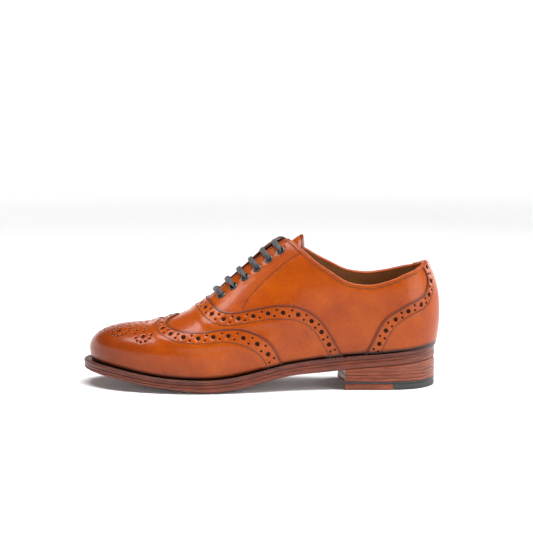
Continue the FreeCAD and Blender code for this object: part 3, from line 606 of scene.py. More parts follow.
def hole_sides(ring, depth, count, at):
    """The wall of one hole, and its floor where it has one."""
    after = ring[1:] + ring[:1]
    if depth is None:
        return [(b, a, a + count, b + count) for a, b in zip(ring, after)]
    floor = list(range(at, at + len(ring)))
    walls = [(b, a, c, d) for a, b, c, d in zip(ring, after, floor, floor[1:] + floor[:1])]
    return walls + [tuple(floor)]


def sheet_piece(name, loop, top, bottom, holes=(), grooves=(), spacing=2.0, edge_step=1.1,
                hole_depth=0.6, finish="upper_leather", body="shoe"):
    """Leather on the last, cut to a loop, with thickness, grooves and punched holes.

    top and bottom give the lift of each face for pattern points.  A hole with a depth of None goes
    right through; other holes have a near-black floor and wall: partly a dark underlay, partly
    painted shade inside the hole."""
    loop = anticlockwise(evenly(loop, edge_step, closed=True))
    layout, rim, hole_rings = lay_out(loop, holes, grooves, spacing)
    pattern, drops = np.array(layout.points), np.array(layout.drops)
    triangles = triangles_of(pattern, layout.edges)
    triangles = triangles[inside(pattern[triangles].mean(1), loop)]
    base = skin(pattern[:, 0], pattern[:, 1])
    normal = outward(pattern[:, 0], pattern[:, 1])
    high = base + normal * (top(pattern) - drops)[:, None]
    low = base + normal * bottom(pattern)[:, None]
    in_hole = over_holes(triangles, hole_rings, len(pattern))
    count = len(pattern)
    under = triangles[:, ::-1] + count
    if hole_depth is None:
        under = under[~in_hole]
    faces = triangles[~in_hole].tolist() + under.tolist()
    faces += [(a, a + count, b + count, b) for a, b in zip(rim, rim[1:] + rim[:1])]
    slots = [0] * len(faces)
    vertices, at = [high, low], 2 * count
    for ring in hole_rings:
        sides = hole_sides(ring, hole_depth, count, at)
        faces += sides
        # Walls of holes with a floor take the near-black finish: painted shade on the cut leather.
        slots += [0 if hole_depth is None else 1] * len(sides)
        if hole_depth is not None:
            vertices.append(high[ring] - normal[ring] * hole_depth)
            at += len(ring)
    materials = upper_finish() if finish == "upper_leather" else [FINISHES[finish]]
    piece = make_object(name, np.vstack(vertices), faces, materials, slots)
    edge = distance_to(pattern, np.vstack([loop, loop[:1]]))
    # Stitch-groove points count as edges, so the colour darkens along each row: painted shade in
    # the grooves.
    if hole_depth is not None:
        edge[drops == GROOVE_DEPTH] = 0.0
    # The underside's vertices get this value, and the leather finish paints them and the lower
    # part of each cut wall dark: painted shade.
    hidden = np.full(at - count, UNDERSIDE)
    add_measure(piece, "edge", np.concatenate([edge, hidden]))
    add_foot(piece)
    hand_over(piece, body, [name])


def add_foot(piece):
    """How far each vertex stands above the welt."""
    places = np.array([vertex.co for vertex in piece.data.vertices]) / MM
    add_measure(piece, "foot", places[:, 2] - WELT_Z(places[:, 0]))


# ---------------------------------------------------------------- materials
def node_material(name, colour, roughness=0.5, **sockets):
    """A material with a Principled shader; returns it with its node tree and shader."""
    material = bpy.data.materials.new(name)
    material.use_nodes = True
    tree = material.node_tree
    shader = tree.nodes["Principled BSDF"]
    shader.inputs["Base Color"].default_value = (*colour, 1)
    shader.inputs["Roughness"].default_value = roughness
    for socket, value in sockets.items():
        shader.inputs[socket.replace("_", " ")].default_value = value
    return material, tree, shader


def position(tree, scale=(1, 1, 1)):
    """Object coordinates, stretched."""
    place = tree.nodes.new("ShaderNodeTexCoord")
    mapping = tree.nodes.new("ShaderNodeMapping")
    mapping.inputs["Scale"].default_value = scale
    tree.links.new(place.outputs["Object"], mapping.inputs["Vector"])
    return mapping.outputs["Vector"]


def noise(tree, vector, scale, detail=3.0, roughness=0.55):
    node = tree.nodes.new("ShaderNodeTexNoise")
    node.inputs["Scale"].default_value = scale
    node.inputs["Detail"].default_value = detail
    node.inputs["Roughness"].default_value = roughness
    tree.links.new(vector, node.inputs["Vector"])
    return node.outputs["Fac"]


def blend_colours(tree, factor, low, high):
    """A colour that runs from low to high with a factor."""
    ramp = tree.nodes.new("ShaderNodeValToRGB")
    ramp.color_ramp.elements[0].position = low[0]
    ramp.color_ramp.elements[0].color = (*low[1], 1)
    ramp.color_ramp.elements[1].position = high[0]
    ramp.color_ramp.elements[1].color = (*high[1], 1)
    tree.links.new(factor, ramp.inputs["Fac"])
    return ramp.outputs["Color"]


def multiply(tree, first, second):
    mix = tree.nodes.new("ShaderNodeMix")
    mix.data_type = "RGBA"
    mix.blend_type = "MULTIPLY"
    mix.inputs["Factor"].default_value = 1.0
    tree.links.new(first, mix.inputs["A"])
    tree.links.new(second, mix.inputs["B"])
    return mix.outputs["Result"]


def bump(tree, shader, height, distance, strength=1.0, before=None):
    node = tree.nodes.new("ShaderNodeBump")
    node.inputs["Distance"].default_value = distance
    node.inputs["Strength"].default_value = strength
    tree.links.new(height, node.inputs["Height"])
    if before is not None:
        tree.links.new(before, node.inputs["Normal"])
    tree.links.new(node.outputs["Normal"], shader.inputs["Normal"])
    return node.outputs["Normal"]


def measure(tree, name, low, high):
    """A vertex measure brought to 0..1 between two values."""
    attribute = tree.nodes.new("ShaderNodeAttribute")
    attribute.attribute_name = name
    span = tree.nodes.new("ShaderNodeMapRange")
    span.inputs["From Min"].default_value = low
    span.inputs["From Max"].default_value = high
    tree.links.new(attribute.outputs["Fac"], span.inputs["Value"])
    return span.outputs["Result"]


def vary_roughness(tree, shader, factor, low, high):
    span = tree.nodes.new("ShaderNodeMapRange")
    span.inputs["To Min"].default_value = low
    span.inputs["To Max"].default_value = high
    tree.links.new(factor, span.inputs["Value"])
    tree.links.new(span.outputs["Result"], shader.inputs["Roughness"])


TAN = (0.36, 0.064, 0.001)
TAN_DARK = (0.26, 0.038, 0.001)
# Darker near cut edges: edge dye, with painted shade at the seams and in the stitch grooves.
EDGE_DYE_AND_GROOVE_SHADE = (0.36, 0.22, 0.18)
TOE_SHADE = (0.44, 0.32, 0.28)   # the toe is darker: partly polish, partly painted shade for the dark reflection there
TOE_SHADE_SPAN = (-0.152, -0.085)   # m along the shoe
# Painted shade on undersides and down the cut walls.
UNDERSIDE_PAINTED_SHADE = (0.06, 0.035, 0.03)
# Painted shadow: the upper turns near-black just above the welt, where the crevice is.
WELT_GAP_PAINTED_SHADOW = (0.02, 0.012, 0.012)
GAP_SPAN = (1.6, 4.6)            # mm above the welt
UNCHANGED = (1, 1, 1)


def upper_leather():
    """Polished tan calf: clouded colour, fine grain and wax shine; edges darker with dye, and
    painted shade in stitch grooves, on undersides and cut walls, in the gap above the welt, and a
    toe darkened partly by polish and partly by painted shade.
    """
    material, tree, shader = node_material("upper_leather", TAN, 0.3, Coat_Weight=0.22,
                                           Coat_Roughness=0.15, Specular_IOR_Level=0.16)
    where = position(tree)
    clouds = blend_colours(tree, noise(tree, where, 38, 4), (0.3, TAN_DARK), (0.72, TAN))
    edge_dye_and_groove_shade = blend_colours(tree, measure(tree, "edge", 0.0, 0.9), (0.0, EDGE_DYE_AND_GROOVE_SHADE),
                            (1.0, UNCHANGED))
    # Painted shade on undersides and down the cut walls.
    under = blend_colours(tree, measure(tree, "edge", UNDERSIDE, 0.0),
                          (0.3, UNDERSIDE_PAINTED_SHADE), (0.9, UNCHANGED))
    # Painted shadow in the crevice above the welt.
    gap = blend_colours(tree, measure(tree, "foot", *GAP_SPAN), (0.0, WELT_GAP_PAINTED_SHADOW),
                        (1.0, UNCHANGED))
    # Darker towards the toe tip: partly polish, partly painted shade.
    along = tree.nodes.new("ShaderNodeSeparateXYZ")
    tree.links.new(where, along.inputs["Vector"])
    toe = tree.nodes.new("ShaderNodeMapRange")
    toe.inputs["From Min"].default_value = TOE_SHADE_SPAN[0]
    toe.inputs["From Max"].default_value = TOE_SHADE_SPAN[1]
    tree.links.new(along.outputs["X"], toe.inputs["Value"])
    toe_polish_and_painted_shade = blend_colours(tree, toe.outputs["Result"], (0.0, TOE_SHADE), (1.0, UNCHANGED))
    grain = noise(tree, where, 2600, 2, 0.6)
    mottle = blend_colours(tree, noise(tree, where, 420, 3), (0.25, (0.84, 0.76, 0.7)),
                           (0.7, UNCHANGED))
    colour = multiply(tree, multiply(tree, clouds, mottle), multiply(tree, edge_dye_and_groove_shade, toe_polish_and_painted_shade))
    shadows = multiply(tree, under, gap)
    tree.links.new(multiply(tree, colour, shadows), shader.inputs["Base Color"])
    vary_roughness(tree, shader, noise(tree, where, 90, 3), 0.26, 0.4)
    creases = bump(tree, shader, noise(tree, where, 160, 3), 0.00012, 0.5)
    bump(tree, shader, grain, 0.00005, 0.6, creases)
    return material


# For each texture: a noise's scale as a share, its detail and its roughness for the colour; the
# ends of the colour ramp; scale and detail for the gloss; how far the roughness falls; scale and
# detail for the relief; the relief's depth in m and its strength; and the shader's own settings.
TEXTURES = {
    "leather": ((0.2, 4, 0.55), (0.3, 0.7), (1, 2), 0.08, (6, 3), (0.00008, 0.6), {}),
    "woven": ((1, 2, 0.7), (0.35, 0.65), (1 / 3, 2), 0.1, (1.5, 2), (0.00012, 0.7),
              {"Sheen_Weight": 0.25, "Sheen_Roughness": 0.4}),
    "hard": ((0.25, 4, 0.55), (0.3, 0.7), (0.5, 3), 0.06, (2, 3), (0.00003, 0.5),
             {"Coat_Roughness": 0.08})}


def textured(name, texture, light, dark, roughness, scale, **sockets):
    """A surface with clouded colour, uneven gloss and fine relief."""
    colour, ramp, gloss, fall, relief, depth, own = TEXTURES[texture]
    material, tree, shader = node_material(name, light, roughness, **own, **sockets)
    where = position(tree)
    clouds = noise(tree, where, scale * colour[0], *colour[1:])
    tree.links.new(blend_colours(tree, clouds, (ramp[0], dark), (ramp[1], light)),
                   shader.inputs["Base Color"])
    vary_roughness(tree, shader, noise(tree, where, scale * gloss[0], gloss[1]),
                   roughness - fall, roughness + 0.1)
    bump(tree, shader, noise(tree, where, scale * relief[0], relief[1]), *depth)
    return material


def edge_leather(name, light, dark, roughness, layers):
    """Dressed sole edge: compressed fibres drawn out along the sole."""
    material, tree, shader = node_material(name, light, roughness, Coat_Weight=0.1,
                                           Coat_Roughness=0.3, Specular_IOR_Level=0.3)
    drawn_out = position(tree, (1, 1, layers))
    streaks = noise(tree, drawn_out, 60, 6, 0.7)
    tree.links.new(blend_colours(tree, streaks, (0.34, dark), (0.68, light)),
                   shader.inputs["Base Color"])
    vary_roughness(tree, shader, streaks, roughness + 0.12, roughness - 0.08)
    fibres = bump(tree, shader, streaks, 0.0003, 0.6)
    bump(tree, shader, noise(tree, position(tree), 1400, 3), 0.00006, 0.4, fibres)
    return material


METAL = {"Metallic": 1.0}
EDGE_LEATHERS = {             # light and dark colours, roughness and closeness of the layers
    "welt_leather": ((0.13, 0.023, 0.008), (0.03, 0.006, 0.003), 0.4, 9),
    "sole_leather": ((0.19, 0.037, 0.014), (0.05, 0.01, 0.005), 0.4, 12),
    "heel_leather": ((0.27, 0.06, 0.021), (0.075, 0.016, 0.007), 0.42, 14)}
PLAIN_FINISHES = {            # texture, light and dark colours, roughness, scale and settings
    # Near-black floors and walls of punched holes: partly a dark underlay, partly painted shade
    # inside the holes.
    "hole_underlay_and_shade": ("leather", (0.035, 0.01, 0.005), (0.02, 0.006, 0.003), 0.8, 300,
                   {"Specular_IOR_Level": 0.08}),
    "lining_leather": ("leather", (0.3, 0.115, 0.03), (0.2, 0.07, 0.018), 0.5, 300, {}),
    "backer_leather": ("leather", (0.35, 0.2, 0.1), (0.25, 0.13, 0.06), 0.7, 300, {}),
    "heel_rubber": ("hard", (0.02, 0.02, 0.021), (0.01, 0.01, 0.01), 0.5, 500, {}),
    "cork": ("hard", (0.36, 0.22, 0.11), (0.18, 0.1, 0.05), 0.75, 900, {}),
    "shank_steel": ("hard", (0.5, 0.5, 0.5), (0.38, 0.38, 0.39), 0.35, 500, METAL),
    "nail_brass": ("hard", (0.65, 0.43, 0.16), (0.5, 0.31, 0.1), 0.3, 500, METAL),
    "eyelet_enamel": ("hard", (0.012, 0.012, 0.013), (0.007, 0.007, 0.008), 0.2, 500,
                      {"Coat_Weight": 0.4}),
    "lace_cotton": ("woven", (0.042, 0.036, 0.038), (0.011, 0.009, 0.01), 0.62, 1500, {}),
    "lace_tip_metal": ("hard", (0.2, 0.2, 0.2), (0.12, 0.12, 0.12), 0.35, 500, METAL),
    "thread": ("woven", (0.014, 0.006, 0.004), (0.006, 0.003, 0.002), 0.65, 2500, {}),
    "welt_thread": ("woven", (0.16, 0.075, 0.045), (0.06, 0.027, 0.018), 0.6, 2500, {})}

FINISHES = {"upper_leather": upper_leather()}
for FINISH, LOOK in EDGE_LEATHERS.items():
    FINISHES[FINISH] = edge_leather(FINISH, *LOOK)
for FINISH, LOOK in PLAIN_FINISHES.items():
    FINISHES[FINISH] = textured(FINISH, *LOOK[:-1], **LOOK[-1])


def upper_finish():
    return [FINISHES["upper_leather"], FINISHES["hole_underlay_and_shade"]]


# ---------------------------------------------------------------- the upper
def level(value):
    return lambda pattern: np.full(len(pattern), float(value))


SETTLING = (BAND_WIDTH + 1, BAND_WIDTH + 7)   # where a layer sinks back, from its seam


def raised_edge(seam_line, floor, rise):
    """The lift of a layer whose edge lies on the next one and which settles further in."""
    def lift(pattern):
        near = 1 - smoothstep(*SETTLING, distance_to(pattern, seam_line))
        return floor + rise * near
    return lift


def punched_band(seam_line, side):
    """Holes along a seam: single large ones with pairs of small ones between."""
    middle = beside(seam_line, side * HOLE_ROW)
    run = polyline_run(skin(*middle.T))
    count = int(run[-1] // HOLE_PITCH)
    start = (run[-1] - count * HOLE_PITCH) / 2
    holes = []
    for k in range(count + 1):
        holes.append((point_at(middle, run, start + k * HOLE_PITCH), BIG_HOLE_RADIUS))
    for k in range(count):
        at = start + (k + 0.5) * HOLE_PITCH
        here = point_at(middle, run, at)
        way = point_at(middle, run, at + 1) - point_at(middle, run, at - 1)
        across_way = np.array([-way[1], way[0]]) / np.linalg.norm(way)
        holes += [(here + across_way * out, SMALL_HOLE_RADIUS)
                  for out in (-PAIR_SPREAD, PAIR_SPREAD)]
    return holes


def point_at(path, run, at):
    return np.array([np.interp(at, run, column) for column in path.T])


def within(holes, loop, margin=2.4):
    """The holes that fit inside a piece."""
    centre_points = np.array([centre for centre, _ in holes])
    closed = np.vstack([loop, loop[:1]])
    fits = inside(centre_points, loop) & (distance_to(centre_points, closed) > margin)
    return [hole for hole, ok in zip(holes, fits) if ok]


def spans(seam_line):
    """A band's two stitch rows beside a seam."""
    return [beside(seam_line, STITCH_INSET), beside(seam_line, BAND_WIDTH - 1)]


def outline_at(x, side):
    return float(look_up(side, x))


def wing_loop():
    start, end = outline_at(WING_FOOT_X, "lateral"), outline_at(WING_FOOT_X, "medial")
    return np.vstack([feather_run(start, end, 260), WING_LINE[::-1]])


def ring_of_holes(middle, radius, angles):
    """Small holes round a place; the angles are in degrees."""
    return [((middle[0] + radius * math.cos(math.radians(angle)),
              middle[1] + radius * math.sin(math.radians(angle))), SMALL_HOLE_RADIUS)
            for angle in angles]


TOE_FLOWER = ((-136.0, 0.0), 6.4)       # a large hole and the radius of its ring
THROAT_FLOWER = ((-98.5, 0.0), 6.2)
RIDGE_HOLE_Q = 6.2
RIDGE_HOLES = (-127, -122.6, -118.2, -113.8, -109.4)
SIDE_FLOWER_P, SIDE_RING_P, SIDE_FLOWER_Q, SIDE_RING = -121.5, -120.0, 20.5, 8.2
HOOK_P, HOOK_Q, HOOK_RING = -99.5, 37.0, 6.6
PETAL_COLUMNS = (((-107.5, 30.5), (-106.0, 26.0), (-105.7, 21.5), (-106.5, 17.0), (-107.5, 12.5)),
                 ((-99.4, 29.5), (-98.5, 25.0), (-98.8, 20.5), (-100.0, 16.0), (-102.0, 11.5)))


def medallion():
    """The punched flower on the toe: large holes ringed by small ones."""
    holes = [(middle, BIG_HOLE_RADIUS) for middle, _ in (TOE_FLOWER, THROAT_FLOWER)]
    holes += ring_of_holes(*TOE_FLOWER, range(0, 360, 30))
    holes += ring_of_holes(*THROAT_FLOWER, range(30, 360, 60))
    for sign in SIDES.values():
        holes += [((p, sign * RIDGE_HOLE_Q), SMALL_HOLE_RADIUS) for p in RIDGE_HOLES]
        holes += flower_arm(sign)
    return holes


def flower_arm(sign):
    """One side of the flower: a ringed hole, two curved rows and a hooked hole."""
    hooked = (HOOK_P, sign * HOOK_Q)
    holes = [((SIDE_FLOWER_P, sign * SIDE_FLOWER_Q), BIG_HOLE_RADIUS),
             (hooked, BIG_HOLE_RADIUS)]
    holes += ring_of_holes((SIDE_RING_P, sign * SIDE_FLOWER_Q), SIDE_RING,
                           np.arange(13) * 360 / 13)
    holes += ring_of_holes(hooked, HOOK_RING, [sign * angle for angle in range(0, 181, 36)])
    for column in PETAL_COLUMNS:
        holes += [((p, sign * q), SMALL_HOLE_RADIUS) for p, q in column]
    return holes


def toe_cap():
    loop = wing_loop()
    holes = within(punched_band(WING_LINE, 1) + medallion(), anticlockwise(loop))
    top = raised_edge(WING_LINE, 0.0, OVERLAY_TOP)
    bottom = raised_edge(WING_LINE, -LEATHER + 0.2, OVERLAY_TOP)
    sheet_piece("toe_cap", loop, top, bottom, holes, spans(WING_LINE), spacing=1.9)


def vamp():
    """The vamp runs on under the toe cap."""
    hidden = WING_FOOT_X - HIDDEN_LAP
    front = beside(WING_LINE, HIDDEN_LAP)
    medial = feather_run(outline_at(hidden, "medial"), outline_at(VAMP_FOOT_X, "medial"), 60)
    lateral = feather_run(outline_at(VAMP_FOOT_X, "lateral"), outline_at(hidden, "lateral"), 60)
    loop = np.vstack([front, medial, VAMP_LINE[::-1], lateral])
    holes = within(punched_band(VAMP_LINE, 1), anticlockwise(loop))
    sheet_piece("vamp", loop, raised_edge(VAMP_LINE, 0.0, OVERLAY_TOP),
                raised_edge(VAMP_LINE, -LEATHER, OVERLAY_TOP + 0.2), holes, spans(VAMP_LINE),
                spacing=1.9)


def heel_welt(start_x, side):
    """The welt line from a place along one side to the middle of the heel."""
    start = outline_at(start_x, side)
    back = float(look_up("heel", SIDES[side] * BACK_SEAM_GAP / 60))
    if side == "medial":
        start -= OUTLINE_LENGTH
    return feather_run(start, back, 80)


def topline_curve(side):
    """From the top of the facing to the middle of the heel."""
    last = (HEEL_TOP[0], SIDES[side] * BACK_SEAM_GAP)
    return drawn(seam([facing_points(side)[-1]] + topline_points(side) + [last]), count=200)


def eyelet_places(side):
    share = np.arange(EYELET_ROWS) / (EYELET_ROWS - 1)
    p = EYELET_FIRST[0] + (EYELET_LAST[0] - EYELET_FIRST[0]) * share
    q = EYELET_FIRST[1] + (EYELET_LAST[1] - EYELET_FIRST[1]) * share
    return np.column_stack([p, SIDES[side] * q])


def facing_line(side):
    return drawn(seam(facing_points(side)), count=60)


EYELET_SWELL = 0.35
SWELL_RADIUS = EYELET_OUTER + 0.7
SWELL_WIDTH = 1.1
FACING_TURN = 2.0
TURN_SPAN = (0.7, 2.4)
RIM_REACH = 9.0
RIM_RISE = ((-40.0, -10.0, 5.0, 20.0, 30.0, 50.0), (0.0, 1.4, 3.4, 4.6, 3.0, 0.0))
FACING_STITCH = 2.3
TOPLINE_STITCH = 2.4


def quarter(side):
    """One side of the upper behind the vamp, with its row of eyelets."""
    half = VAMP_LINE[:201] if side == "lateral" else VAMP_LINE[200:][::-1]
    under_vamp = beside(half, HIDDEN_LAP * -SIDES[side])
    under_vamp = under_vamp[under_vamp[:, 1] * SIDES[side] > FACING_GAP[side] + 0.5]
    facing, top_edge = facing_line(side), topline_curve(side)
    welt_line = heel_welt(VAMP_FOOT_X - 5, side)
    loop = np.vstack([under_vamp, facing, top_edge, welt_line[::-1]])
    places = eyelet_places(side)
    holes = [((p, q), EYELET_HOLE + 0.5) for p, q in places]

    def rim(pattern):
        """The medial facing's edge stands proud, most of all at its top corner."""
        if side == "lateral":
            return np.zeros(len(pattern))
        near = 1 - smoothstep(0.0, RIM_REACH, distance_to(pattern, facing))
        return near * np.interp(pattern[:, 0], *RIM_RISE)

    def top(pattern):
        """The leather swells a little round each eyelet."""
        near = np.linalg.norm(pattern[:, None] - places[None], axis=2).min(1)
        swell = EYELET_SWELL * np.exp(-((near - SWELL_RADIUS) / SWELL_WIDTH) ** 2)
        return swell + rim(pattern)

    def bottom(pattern):
        """The facing's edge is turned over the lining, so it is thick."""
        near = 1 - smoothstep(*TURN_SPAN, distance_to(pattern, facing))
        return -LEATHER - FACING_TURN * near + rim(pattern)

    grooves = [facing_stitch_line(side), topline_stitch_line(side), stay_stitch_line(side)]
    sheet_piece("quarter_" + side, loop, top, bottom, holes, grooves, hole_depth=None)


def facing_stitch_line(side):
    line = beside(facing_line(side), FACING_STITCH * SIDES[side])
    return line[line[:, 0] > -40]


def topline_stitch_line(side):
    return beside(topline_curve(side), TOPLINE_STITCH * SIDES[side])


def stay_stitch_line(side):
    return drawn(seam(on_side(STAY_LINE, side)), count=60)


def counter_line(side):
    p, q = COUNTER_TOP[0]
    points = on_side(COUNTER, side) + [(p, SIDES[side] * q)]
    return drawn(seam([feather_at(COUNTER_FOOT_X, side)] + points), count=160)


def counter_cover():
    """The punched piece round the back of the heel."""
    near, far = counter_line("lateral"), counter_line("medial")
    back = feather_run(outline_at(COUNTER_FOOT_X, "lateral"),
                       outline_at(COUNTER_FOOT_X, "medial") - OUTLINE_LENGTH, 160)
    mirrored = [(p, -q) for p, q in COUNTER_TOP]
    top = drawn(seam(mirrored + [HEEL_TOP] + COUNTER_TOP[::-1]), count=40)
    loop = np.vstack([back, far, top[::-1], near[::-1]])
    holes = punched_band(near, -1) + punched_band(far, 1)
    holes = within(holes, anticlockwise(loop))
    grooves = [beside(near, -STITCH_INSET), beside(far, STITCH_INSET),
               beside(near, 1 - BAND_WIDTH), beside(far, BAND_WIDTH - 1)]
    sheet_piece("counter_cover", loop, level(OVERLAY_TOP), level(OVERLAY_BOTTOM), holes,
                grooves)


LINING_JOIN = [(12, -64.5), (-20, -38.5), (-42, -14)]
LINING_FOOT_X = 34.0


def lining(side):
    """The lining of a quarter, seen inside the collar."""
    join = [(p + 2, q) for p, q in on_side(LINING_JOIN, side)]
    foot = feather_at(LINING_FOOT_X + 4, side)
    front = drawn(seam([foot] + join), count=50)[::-1]
    facing = facing_line(side)[6:] + np.array([0.0, 0.5 * SIDES[side]])
    welt_line = heel_welt(LINING_FOOT_X + 5, side)
    loop = np.vstack([front[:1], facing, topline_curve(side), welt_line[::-1],
                      front[::-1]])
    holes = [((p, q), EYELET_HOLE + 1.2) for p, q in eyelet_places(side)]
    sheet_piece("quarter_lining_" + side, loop, level(LINING[1]), level(LINING[0]), holes,
                spacing=2.6, edge_step=1.4, hole_depth=None, finish="lining_leather")


TONGUE_ROOT_P, TONGUE_TIP_P = -52.0, 34.0
TONGUE_STITCH = 2.2
TONGUE_TIP = ((-5, 1.0), (-0.8, 0.93), (1.8, 0.72), (1.6, 0.4))
TONGUE_HALF_WIDTH = (20.0, 29.0)
TONGUE_ROOT_LIFT, TONGUE_TIP_LIFT = 1.4, 2.8
TONGUE_LEVELS = (-8.4, -7.2)
TONGUE_LINER_LEVELS = (-9.4, -8.5)


def tongue_loop():
    root, tip = TONGUE_HALF_WIDTH
    half = [(TONGUE_TIP_P + beyond, tip * share) for beyond, share in TONGUE_TIP]
    end = [(p, -q) for p, q in half] + [(TONGUE_TIP_P + 1, 0)] + half[::-1]
    return np.vstack([[(TONGUE_ROOT_P, -root)], drawn(seam(end), count=60),
                      [(TONGUE_ROOT_P, root)]])


def tongue_level(base):
    def lift(pattern):
        share = (pattern[:, 0] - TONGUE_ROOT_P) / (TONGUE_TIP_P - TONGUE_ROOT_P)
        down = TONGUE_ROOT_LIFT * (1 - smoothstep(0.0, 0.2, share))
        return base + down + TONGUE_TIP_LIFT * smoothstep(0.82, 0.99, share)
    return lift


def tongue():
    loop = tongue_loop()
    groove = anticlockwise(evenly(loop, 1.0, closed=True))
    row = inset_loop(groove, TONGUE_STITCH)
    sheet_piece("tongue", loop, tongue_level(TONGUE_LEVELS[1]), tongue_level(TONGUE_LEVELS[0]),
                (), [row], spacing=2.4, body="tongue")
    sheet_piece("tongue_lining", inset_loop(groove, 0.5), tongue_level(TONGUE_LINER_LEVELS[1]),
                tongue_level(TONGUE_LINER_LEVELS[0]), spacing=2.8, finish="lining_leather",
                body="tongue")



def ring_faces(count, size, closed=False):
    """Faces that join rings of points, each to the next."""
    faces = []
    for i in range(count if closed else count - 1):
        after = (i + 1) % count
        for k in range(size):
            j = (k + 1) % size
            faces.append((i * size + k, i * size + j, after * size + j, after * size + k))
    return faces


def swept(centres_line, across_way, up_way, section_shape):
    """Vertices and faces of a section carried along a line."""
    count, size = len(centres_line), len(section_shape)
    x, z = np.array(section_shape).T
    rings = (centres_line[:, None] + across_way[:, None] * x[None, :, None]
             + up_way[:, None] * z[None, :, None])
    faces = ring_faces(count, size)
    faces.append(tuple(range(size))[::-1])
    faces.append(tuple((count - 1) * size + k for k in range(size)))
    return rings.reshape(-1, 3), faces


def directions(path):
    way = np.gradient(path, axis=0)
    return way / np.linalg.norm(way, axis=1, keepdims=True)


def ellipse(half_width, half_height, count):
    angle = np.arange(count) * 2 * math.pi / count
    return np.column_stack([half_width * np.cos(angle), half_height * np.sin(angle)])


HEEL_TAB = (140.0, 142.5)     # the binding grows into a tab over the heel
TAB_GROWTH = (0.9, 0.25)      # by these shares across and up
BINDING_CENTRE = -1.62
BINDING_HALF = (1.15, 1.88)    # half its width along the skin, and half its height


def topline_binding(side):
    """The leather rolled over the topline's edge."""
    path = evenly(topline_curve(side)[8:], 1.3)
    line = lifted(path, BINDING_CENTRE)
    up = outward(path[:, 0], path[:, 1])
    sideways = np.cross(directions(line), up)
    sideways /= np.linalg.norm(sideways, axis=1, keepdims=True)
    tab = smoothstep(*HEEL_TAB, path[:, :1])
    vertices, faces = swept(line, sideways * (1 + TAB_GROWTH[0] * tab),
                            up * (1 + TAB_GROWTH[1] * tab),
                            ellipse(*BINDING_HALF, 18))
    piece = make_object("topline_binding_" + side, vertices, faces, upper_finish())
    add_measure(piece, "edge", np.full(len(vertices), 2.0))
    add_foot(piece)
    hand_over(piece, nodes=["topline_binding_" + side])


EYELET_PROFILE = [(2.1, -2.4), (2.1, 0.2), (2.25, 0.7), (2.6, 1.1), (3.1, 1.2), (3.55, 1.02),
                  (3.85, 0.62), (3.92, 0.2), (3.85, 0.0), (2.7, -0.2), (2.7, -2.4)]


def turned(profile, middle, axis, count=36):
    """A profile of radius and height turned about an axis."""
    side = np.cross(axis, [1.0, 0.0, 0.3])
    side /= np.linalg.norm(side)
    other = np.cross(axis, side)
    angle = np.arange(count) * 2 * math.pi / count
    ring = np.cos(angle)[:, None] * side + np.sin(angle)[:, None] * other
    points = [middle + ring * radius + axis * height for radius, height in profile]
    faces = [face[::-1] for face in ring_faces(len(profile), count, closed=True)]
    return np.vstack(points), faces


def joined(parts):
    """Several sets of vertices and faces as one."""
    vertices, faces, start = [], [], 0
    for points, polygons in parts:
        vertices.append(points)
        faces += [tuple(i + start for i in face) for face in polygons]
        start += len(points)
    return np.vstack(vertices), faces


def eyelets(side):
    places = eyelet_places(side)
    middle, axis = skin(*places.T), outward(*places.T)
    rings = [turned(EYELET_PROFILE, point, way) for point, way in zip(middle, axis)]
    piece = make_object("eyelets_" + side, *joined(rings), [FINISHES["eyelet_enamel"]])
    hand_over(piece, nodes=["eyelets_" + side])


# ---------------------------------------------------------------- lace
UNDER_LIFT = -5.2
OVER_LIFT = 2.35
EYELET_PITCH = 12.7
LACE_TURN = 4.0
LACE_SWAY = 3.3
BAR_HALF = [(1.0, 0.0, -2.8), (0.99, 0.0, 0.1), (0.82, -0.9, 2.3), (0.45, -3.4, OVER_LIFT),
            (0.2, -4.6, OVER_LIFT)]   # share of the way out, swing to the toe, lift
TAIL_SPREADS = {5: 13.0, 4: 8.0}
TAIL = ((3, 0.25, 0.0), (9, 0.8, 0.0), (15, 1.0, 0.2))   # run to the toe, spread, rise
SWAY_SHARE = 0.6              # of the sway near the eyelets
LACE_HALF = (2.25, 1.0)       # half its width and half its thickness
LACE_STEP = 0.45
BRAID_PITCH = 1.7
BRAID_RELIEF = 0.09


def eyelet_place(row, side):
    p, q = eyelet_places(side)[row]
    return float(p), float(q)


def bar_points(row, start_side):
    """One straight bar, up out of one eyelet, over the ridge and down into the other."""
    other = "medial" if start_side == "lateral" else "lateral"
    (p, q0), (_, q1) = eyelet_place(row, start_side), eyelet_place(row, other)
    climb = [(p + swing, q0 * share, lift) for share, swing, lift in BAR_HALF]
    return climb + [(p + swing, q1 * share, lift) for share, swing, lift in BAR_HALF[::-1]]


def under_points(row, next_row, side, sway=0.0):
    """The lace below the facing, from one eyelet to another further up."""
    (p0, q0), (p1, q1) = eyelet_place(row, side), eyelet_place(next_row, side)
    near = LACE_TURN / (abs(next_row - row) * EYELET_PITCH)
    return [(p0 + (p1 - p0) * share, q0 + (q1 - q0) * share + SIDES[side] * out, UNDER_LIFT)
            for share, out in ((near, sway * SWAY_SHARE), (0.5, sway),
                               (1 - near, sway * SWAY_SHARE))]


def tail_points(row, side):
    """The tucked end of the lace, lying between the facing and the tongue."""
    p, q = eyelet_place(row, side)
    swing = SIDES[side] * TAIL_SPREADS[row]
    return [(p - back, q + swing * share, UNDER_LIFT + rise) for back, share, rise in TAIL]


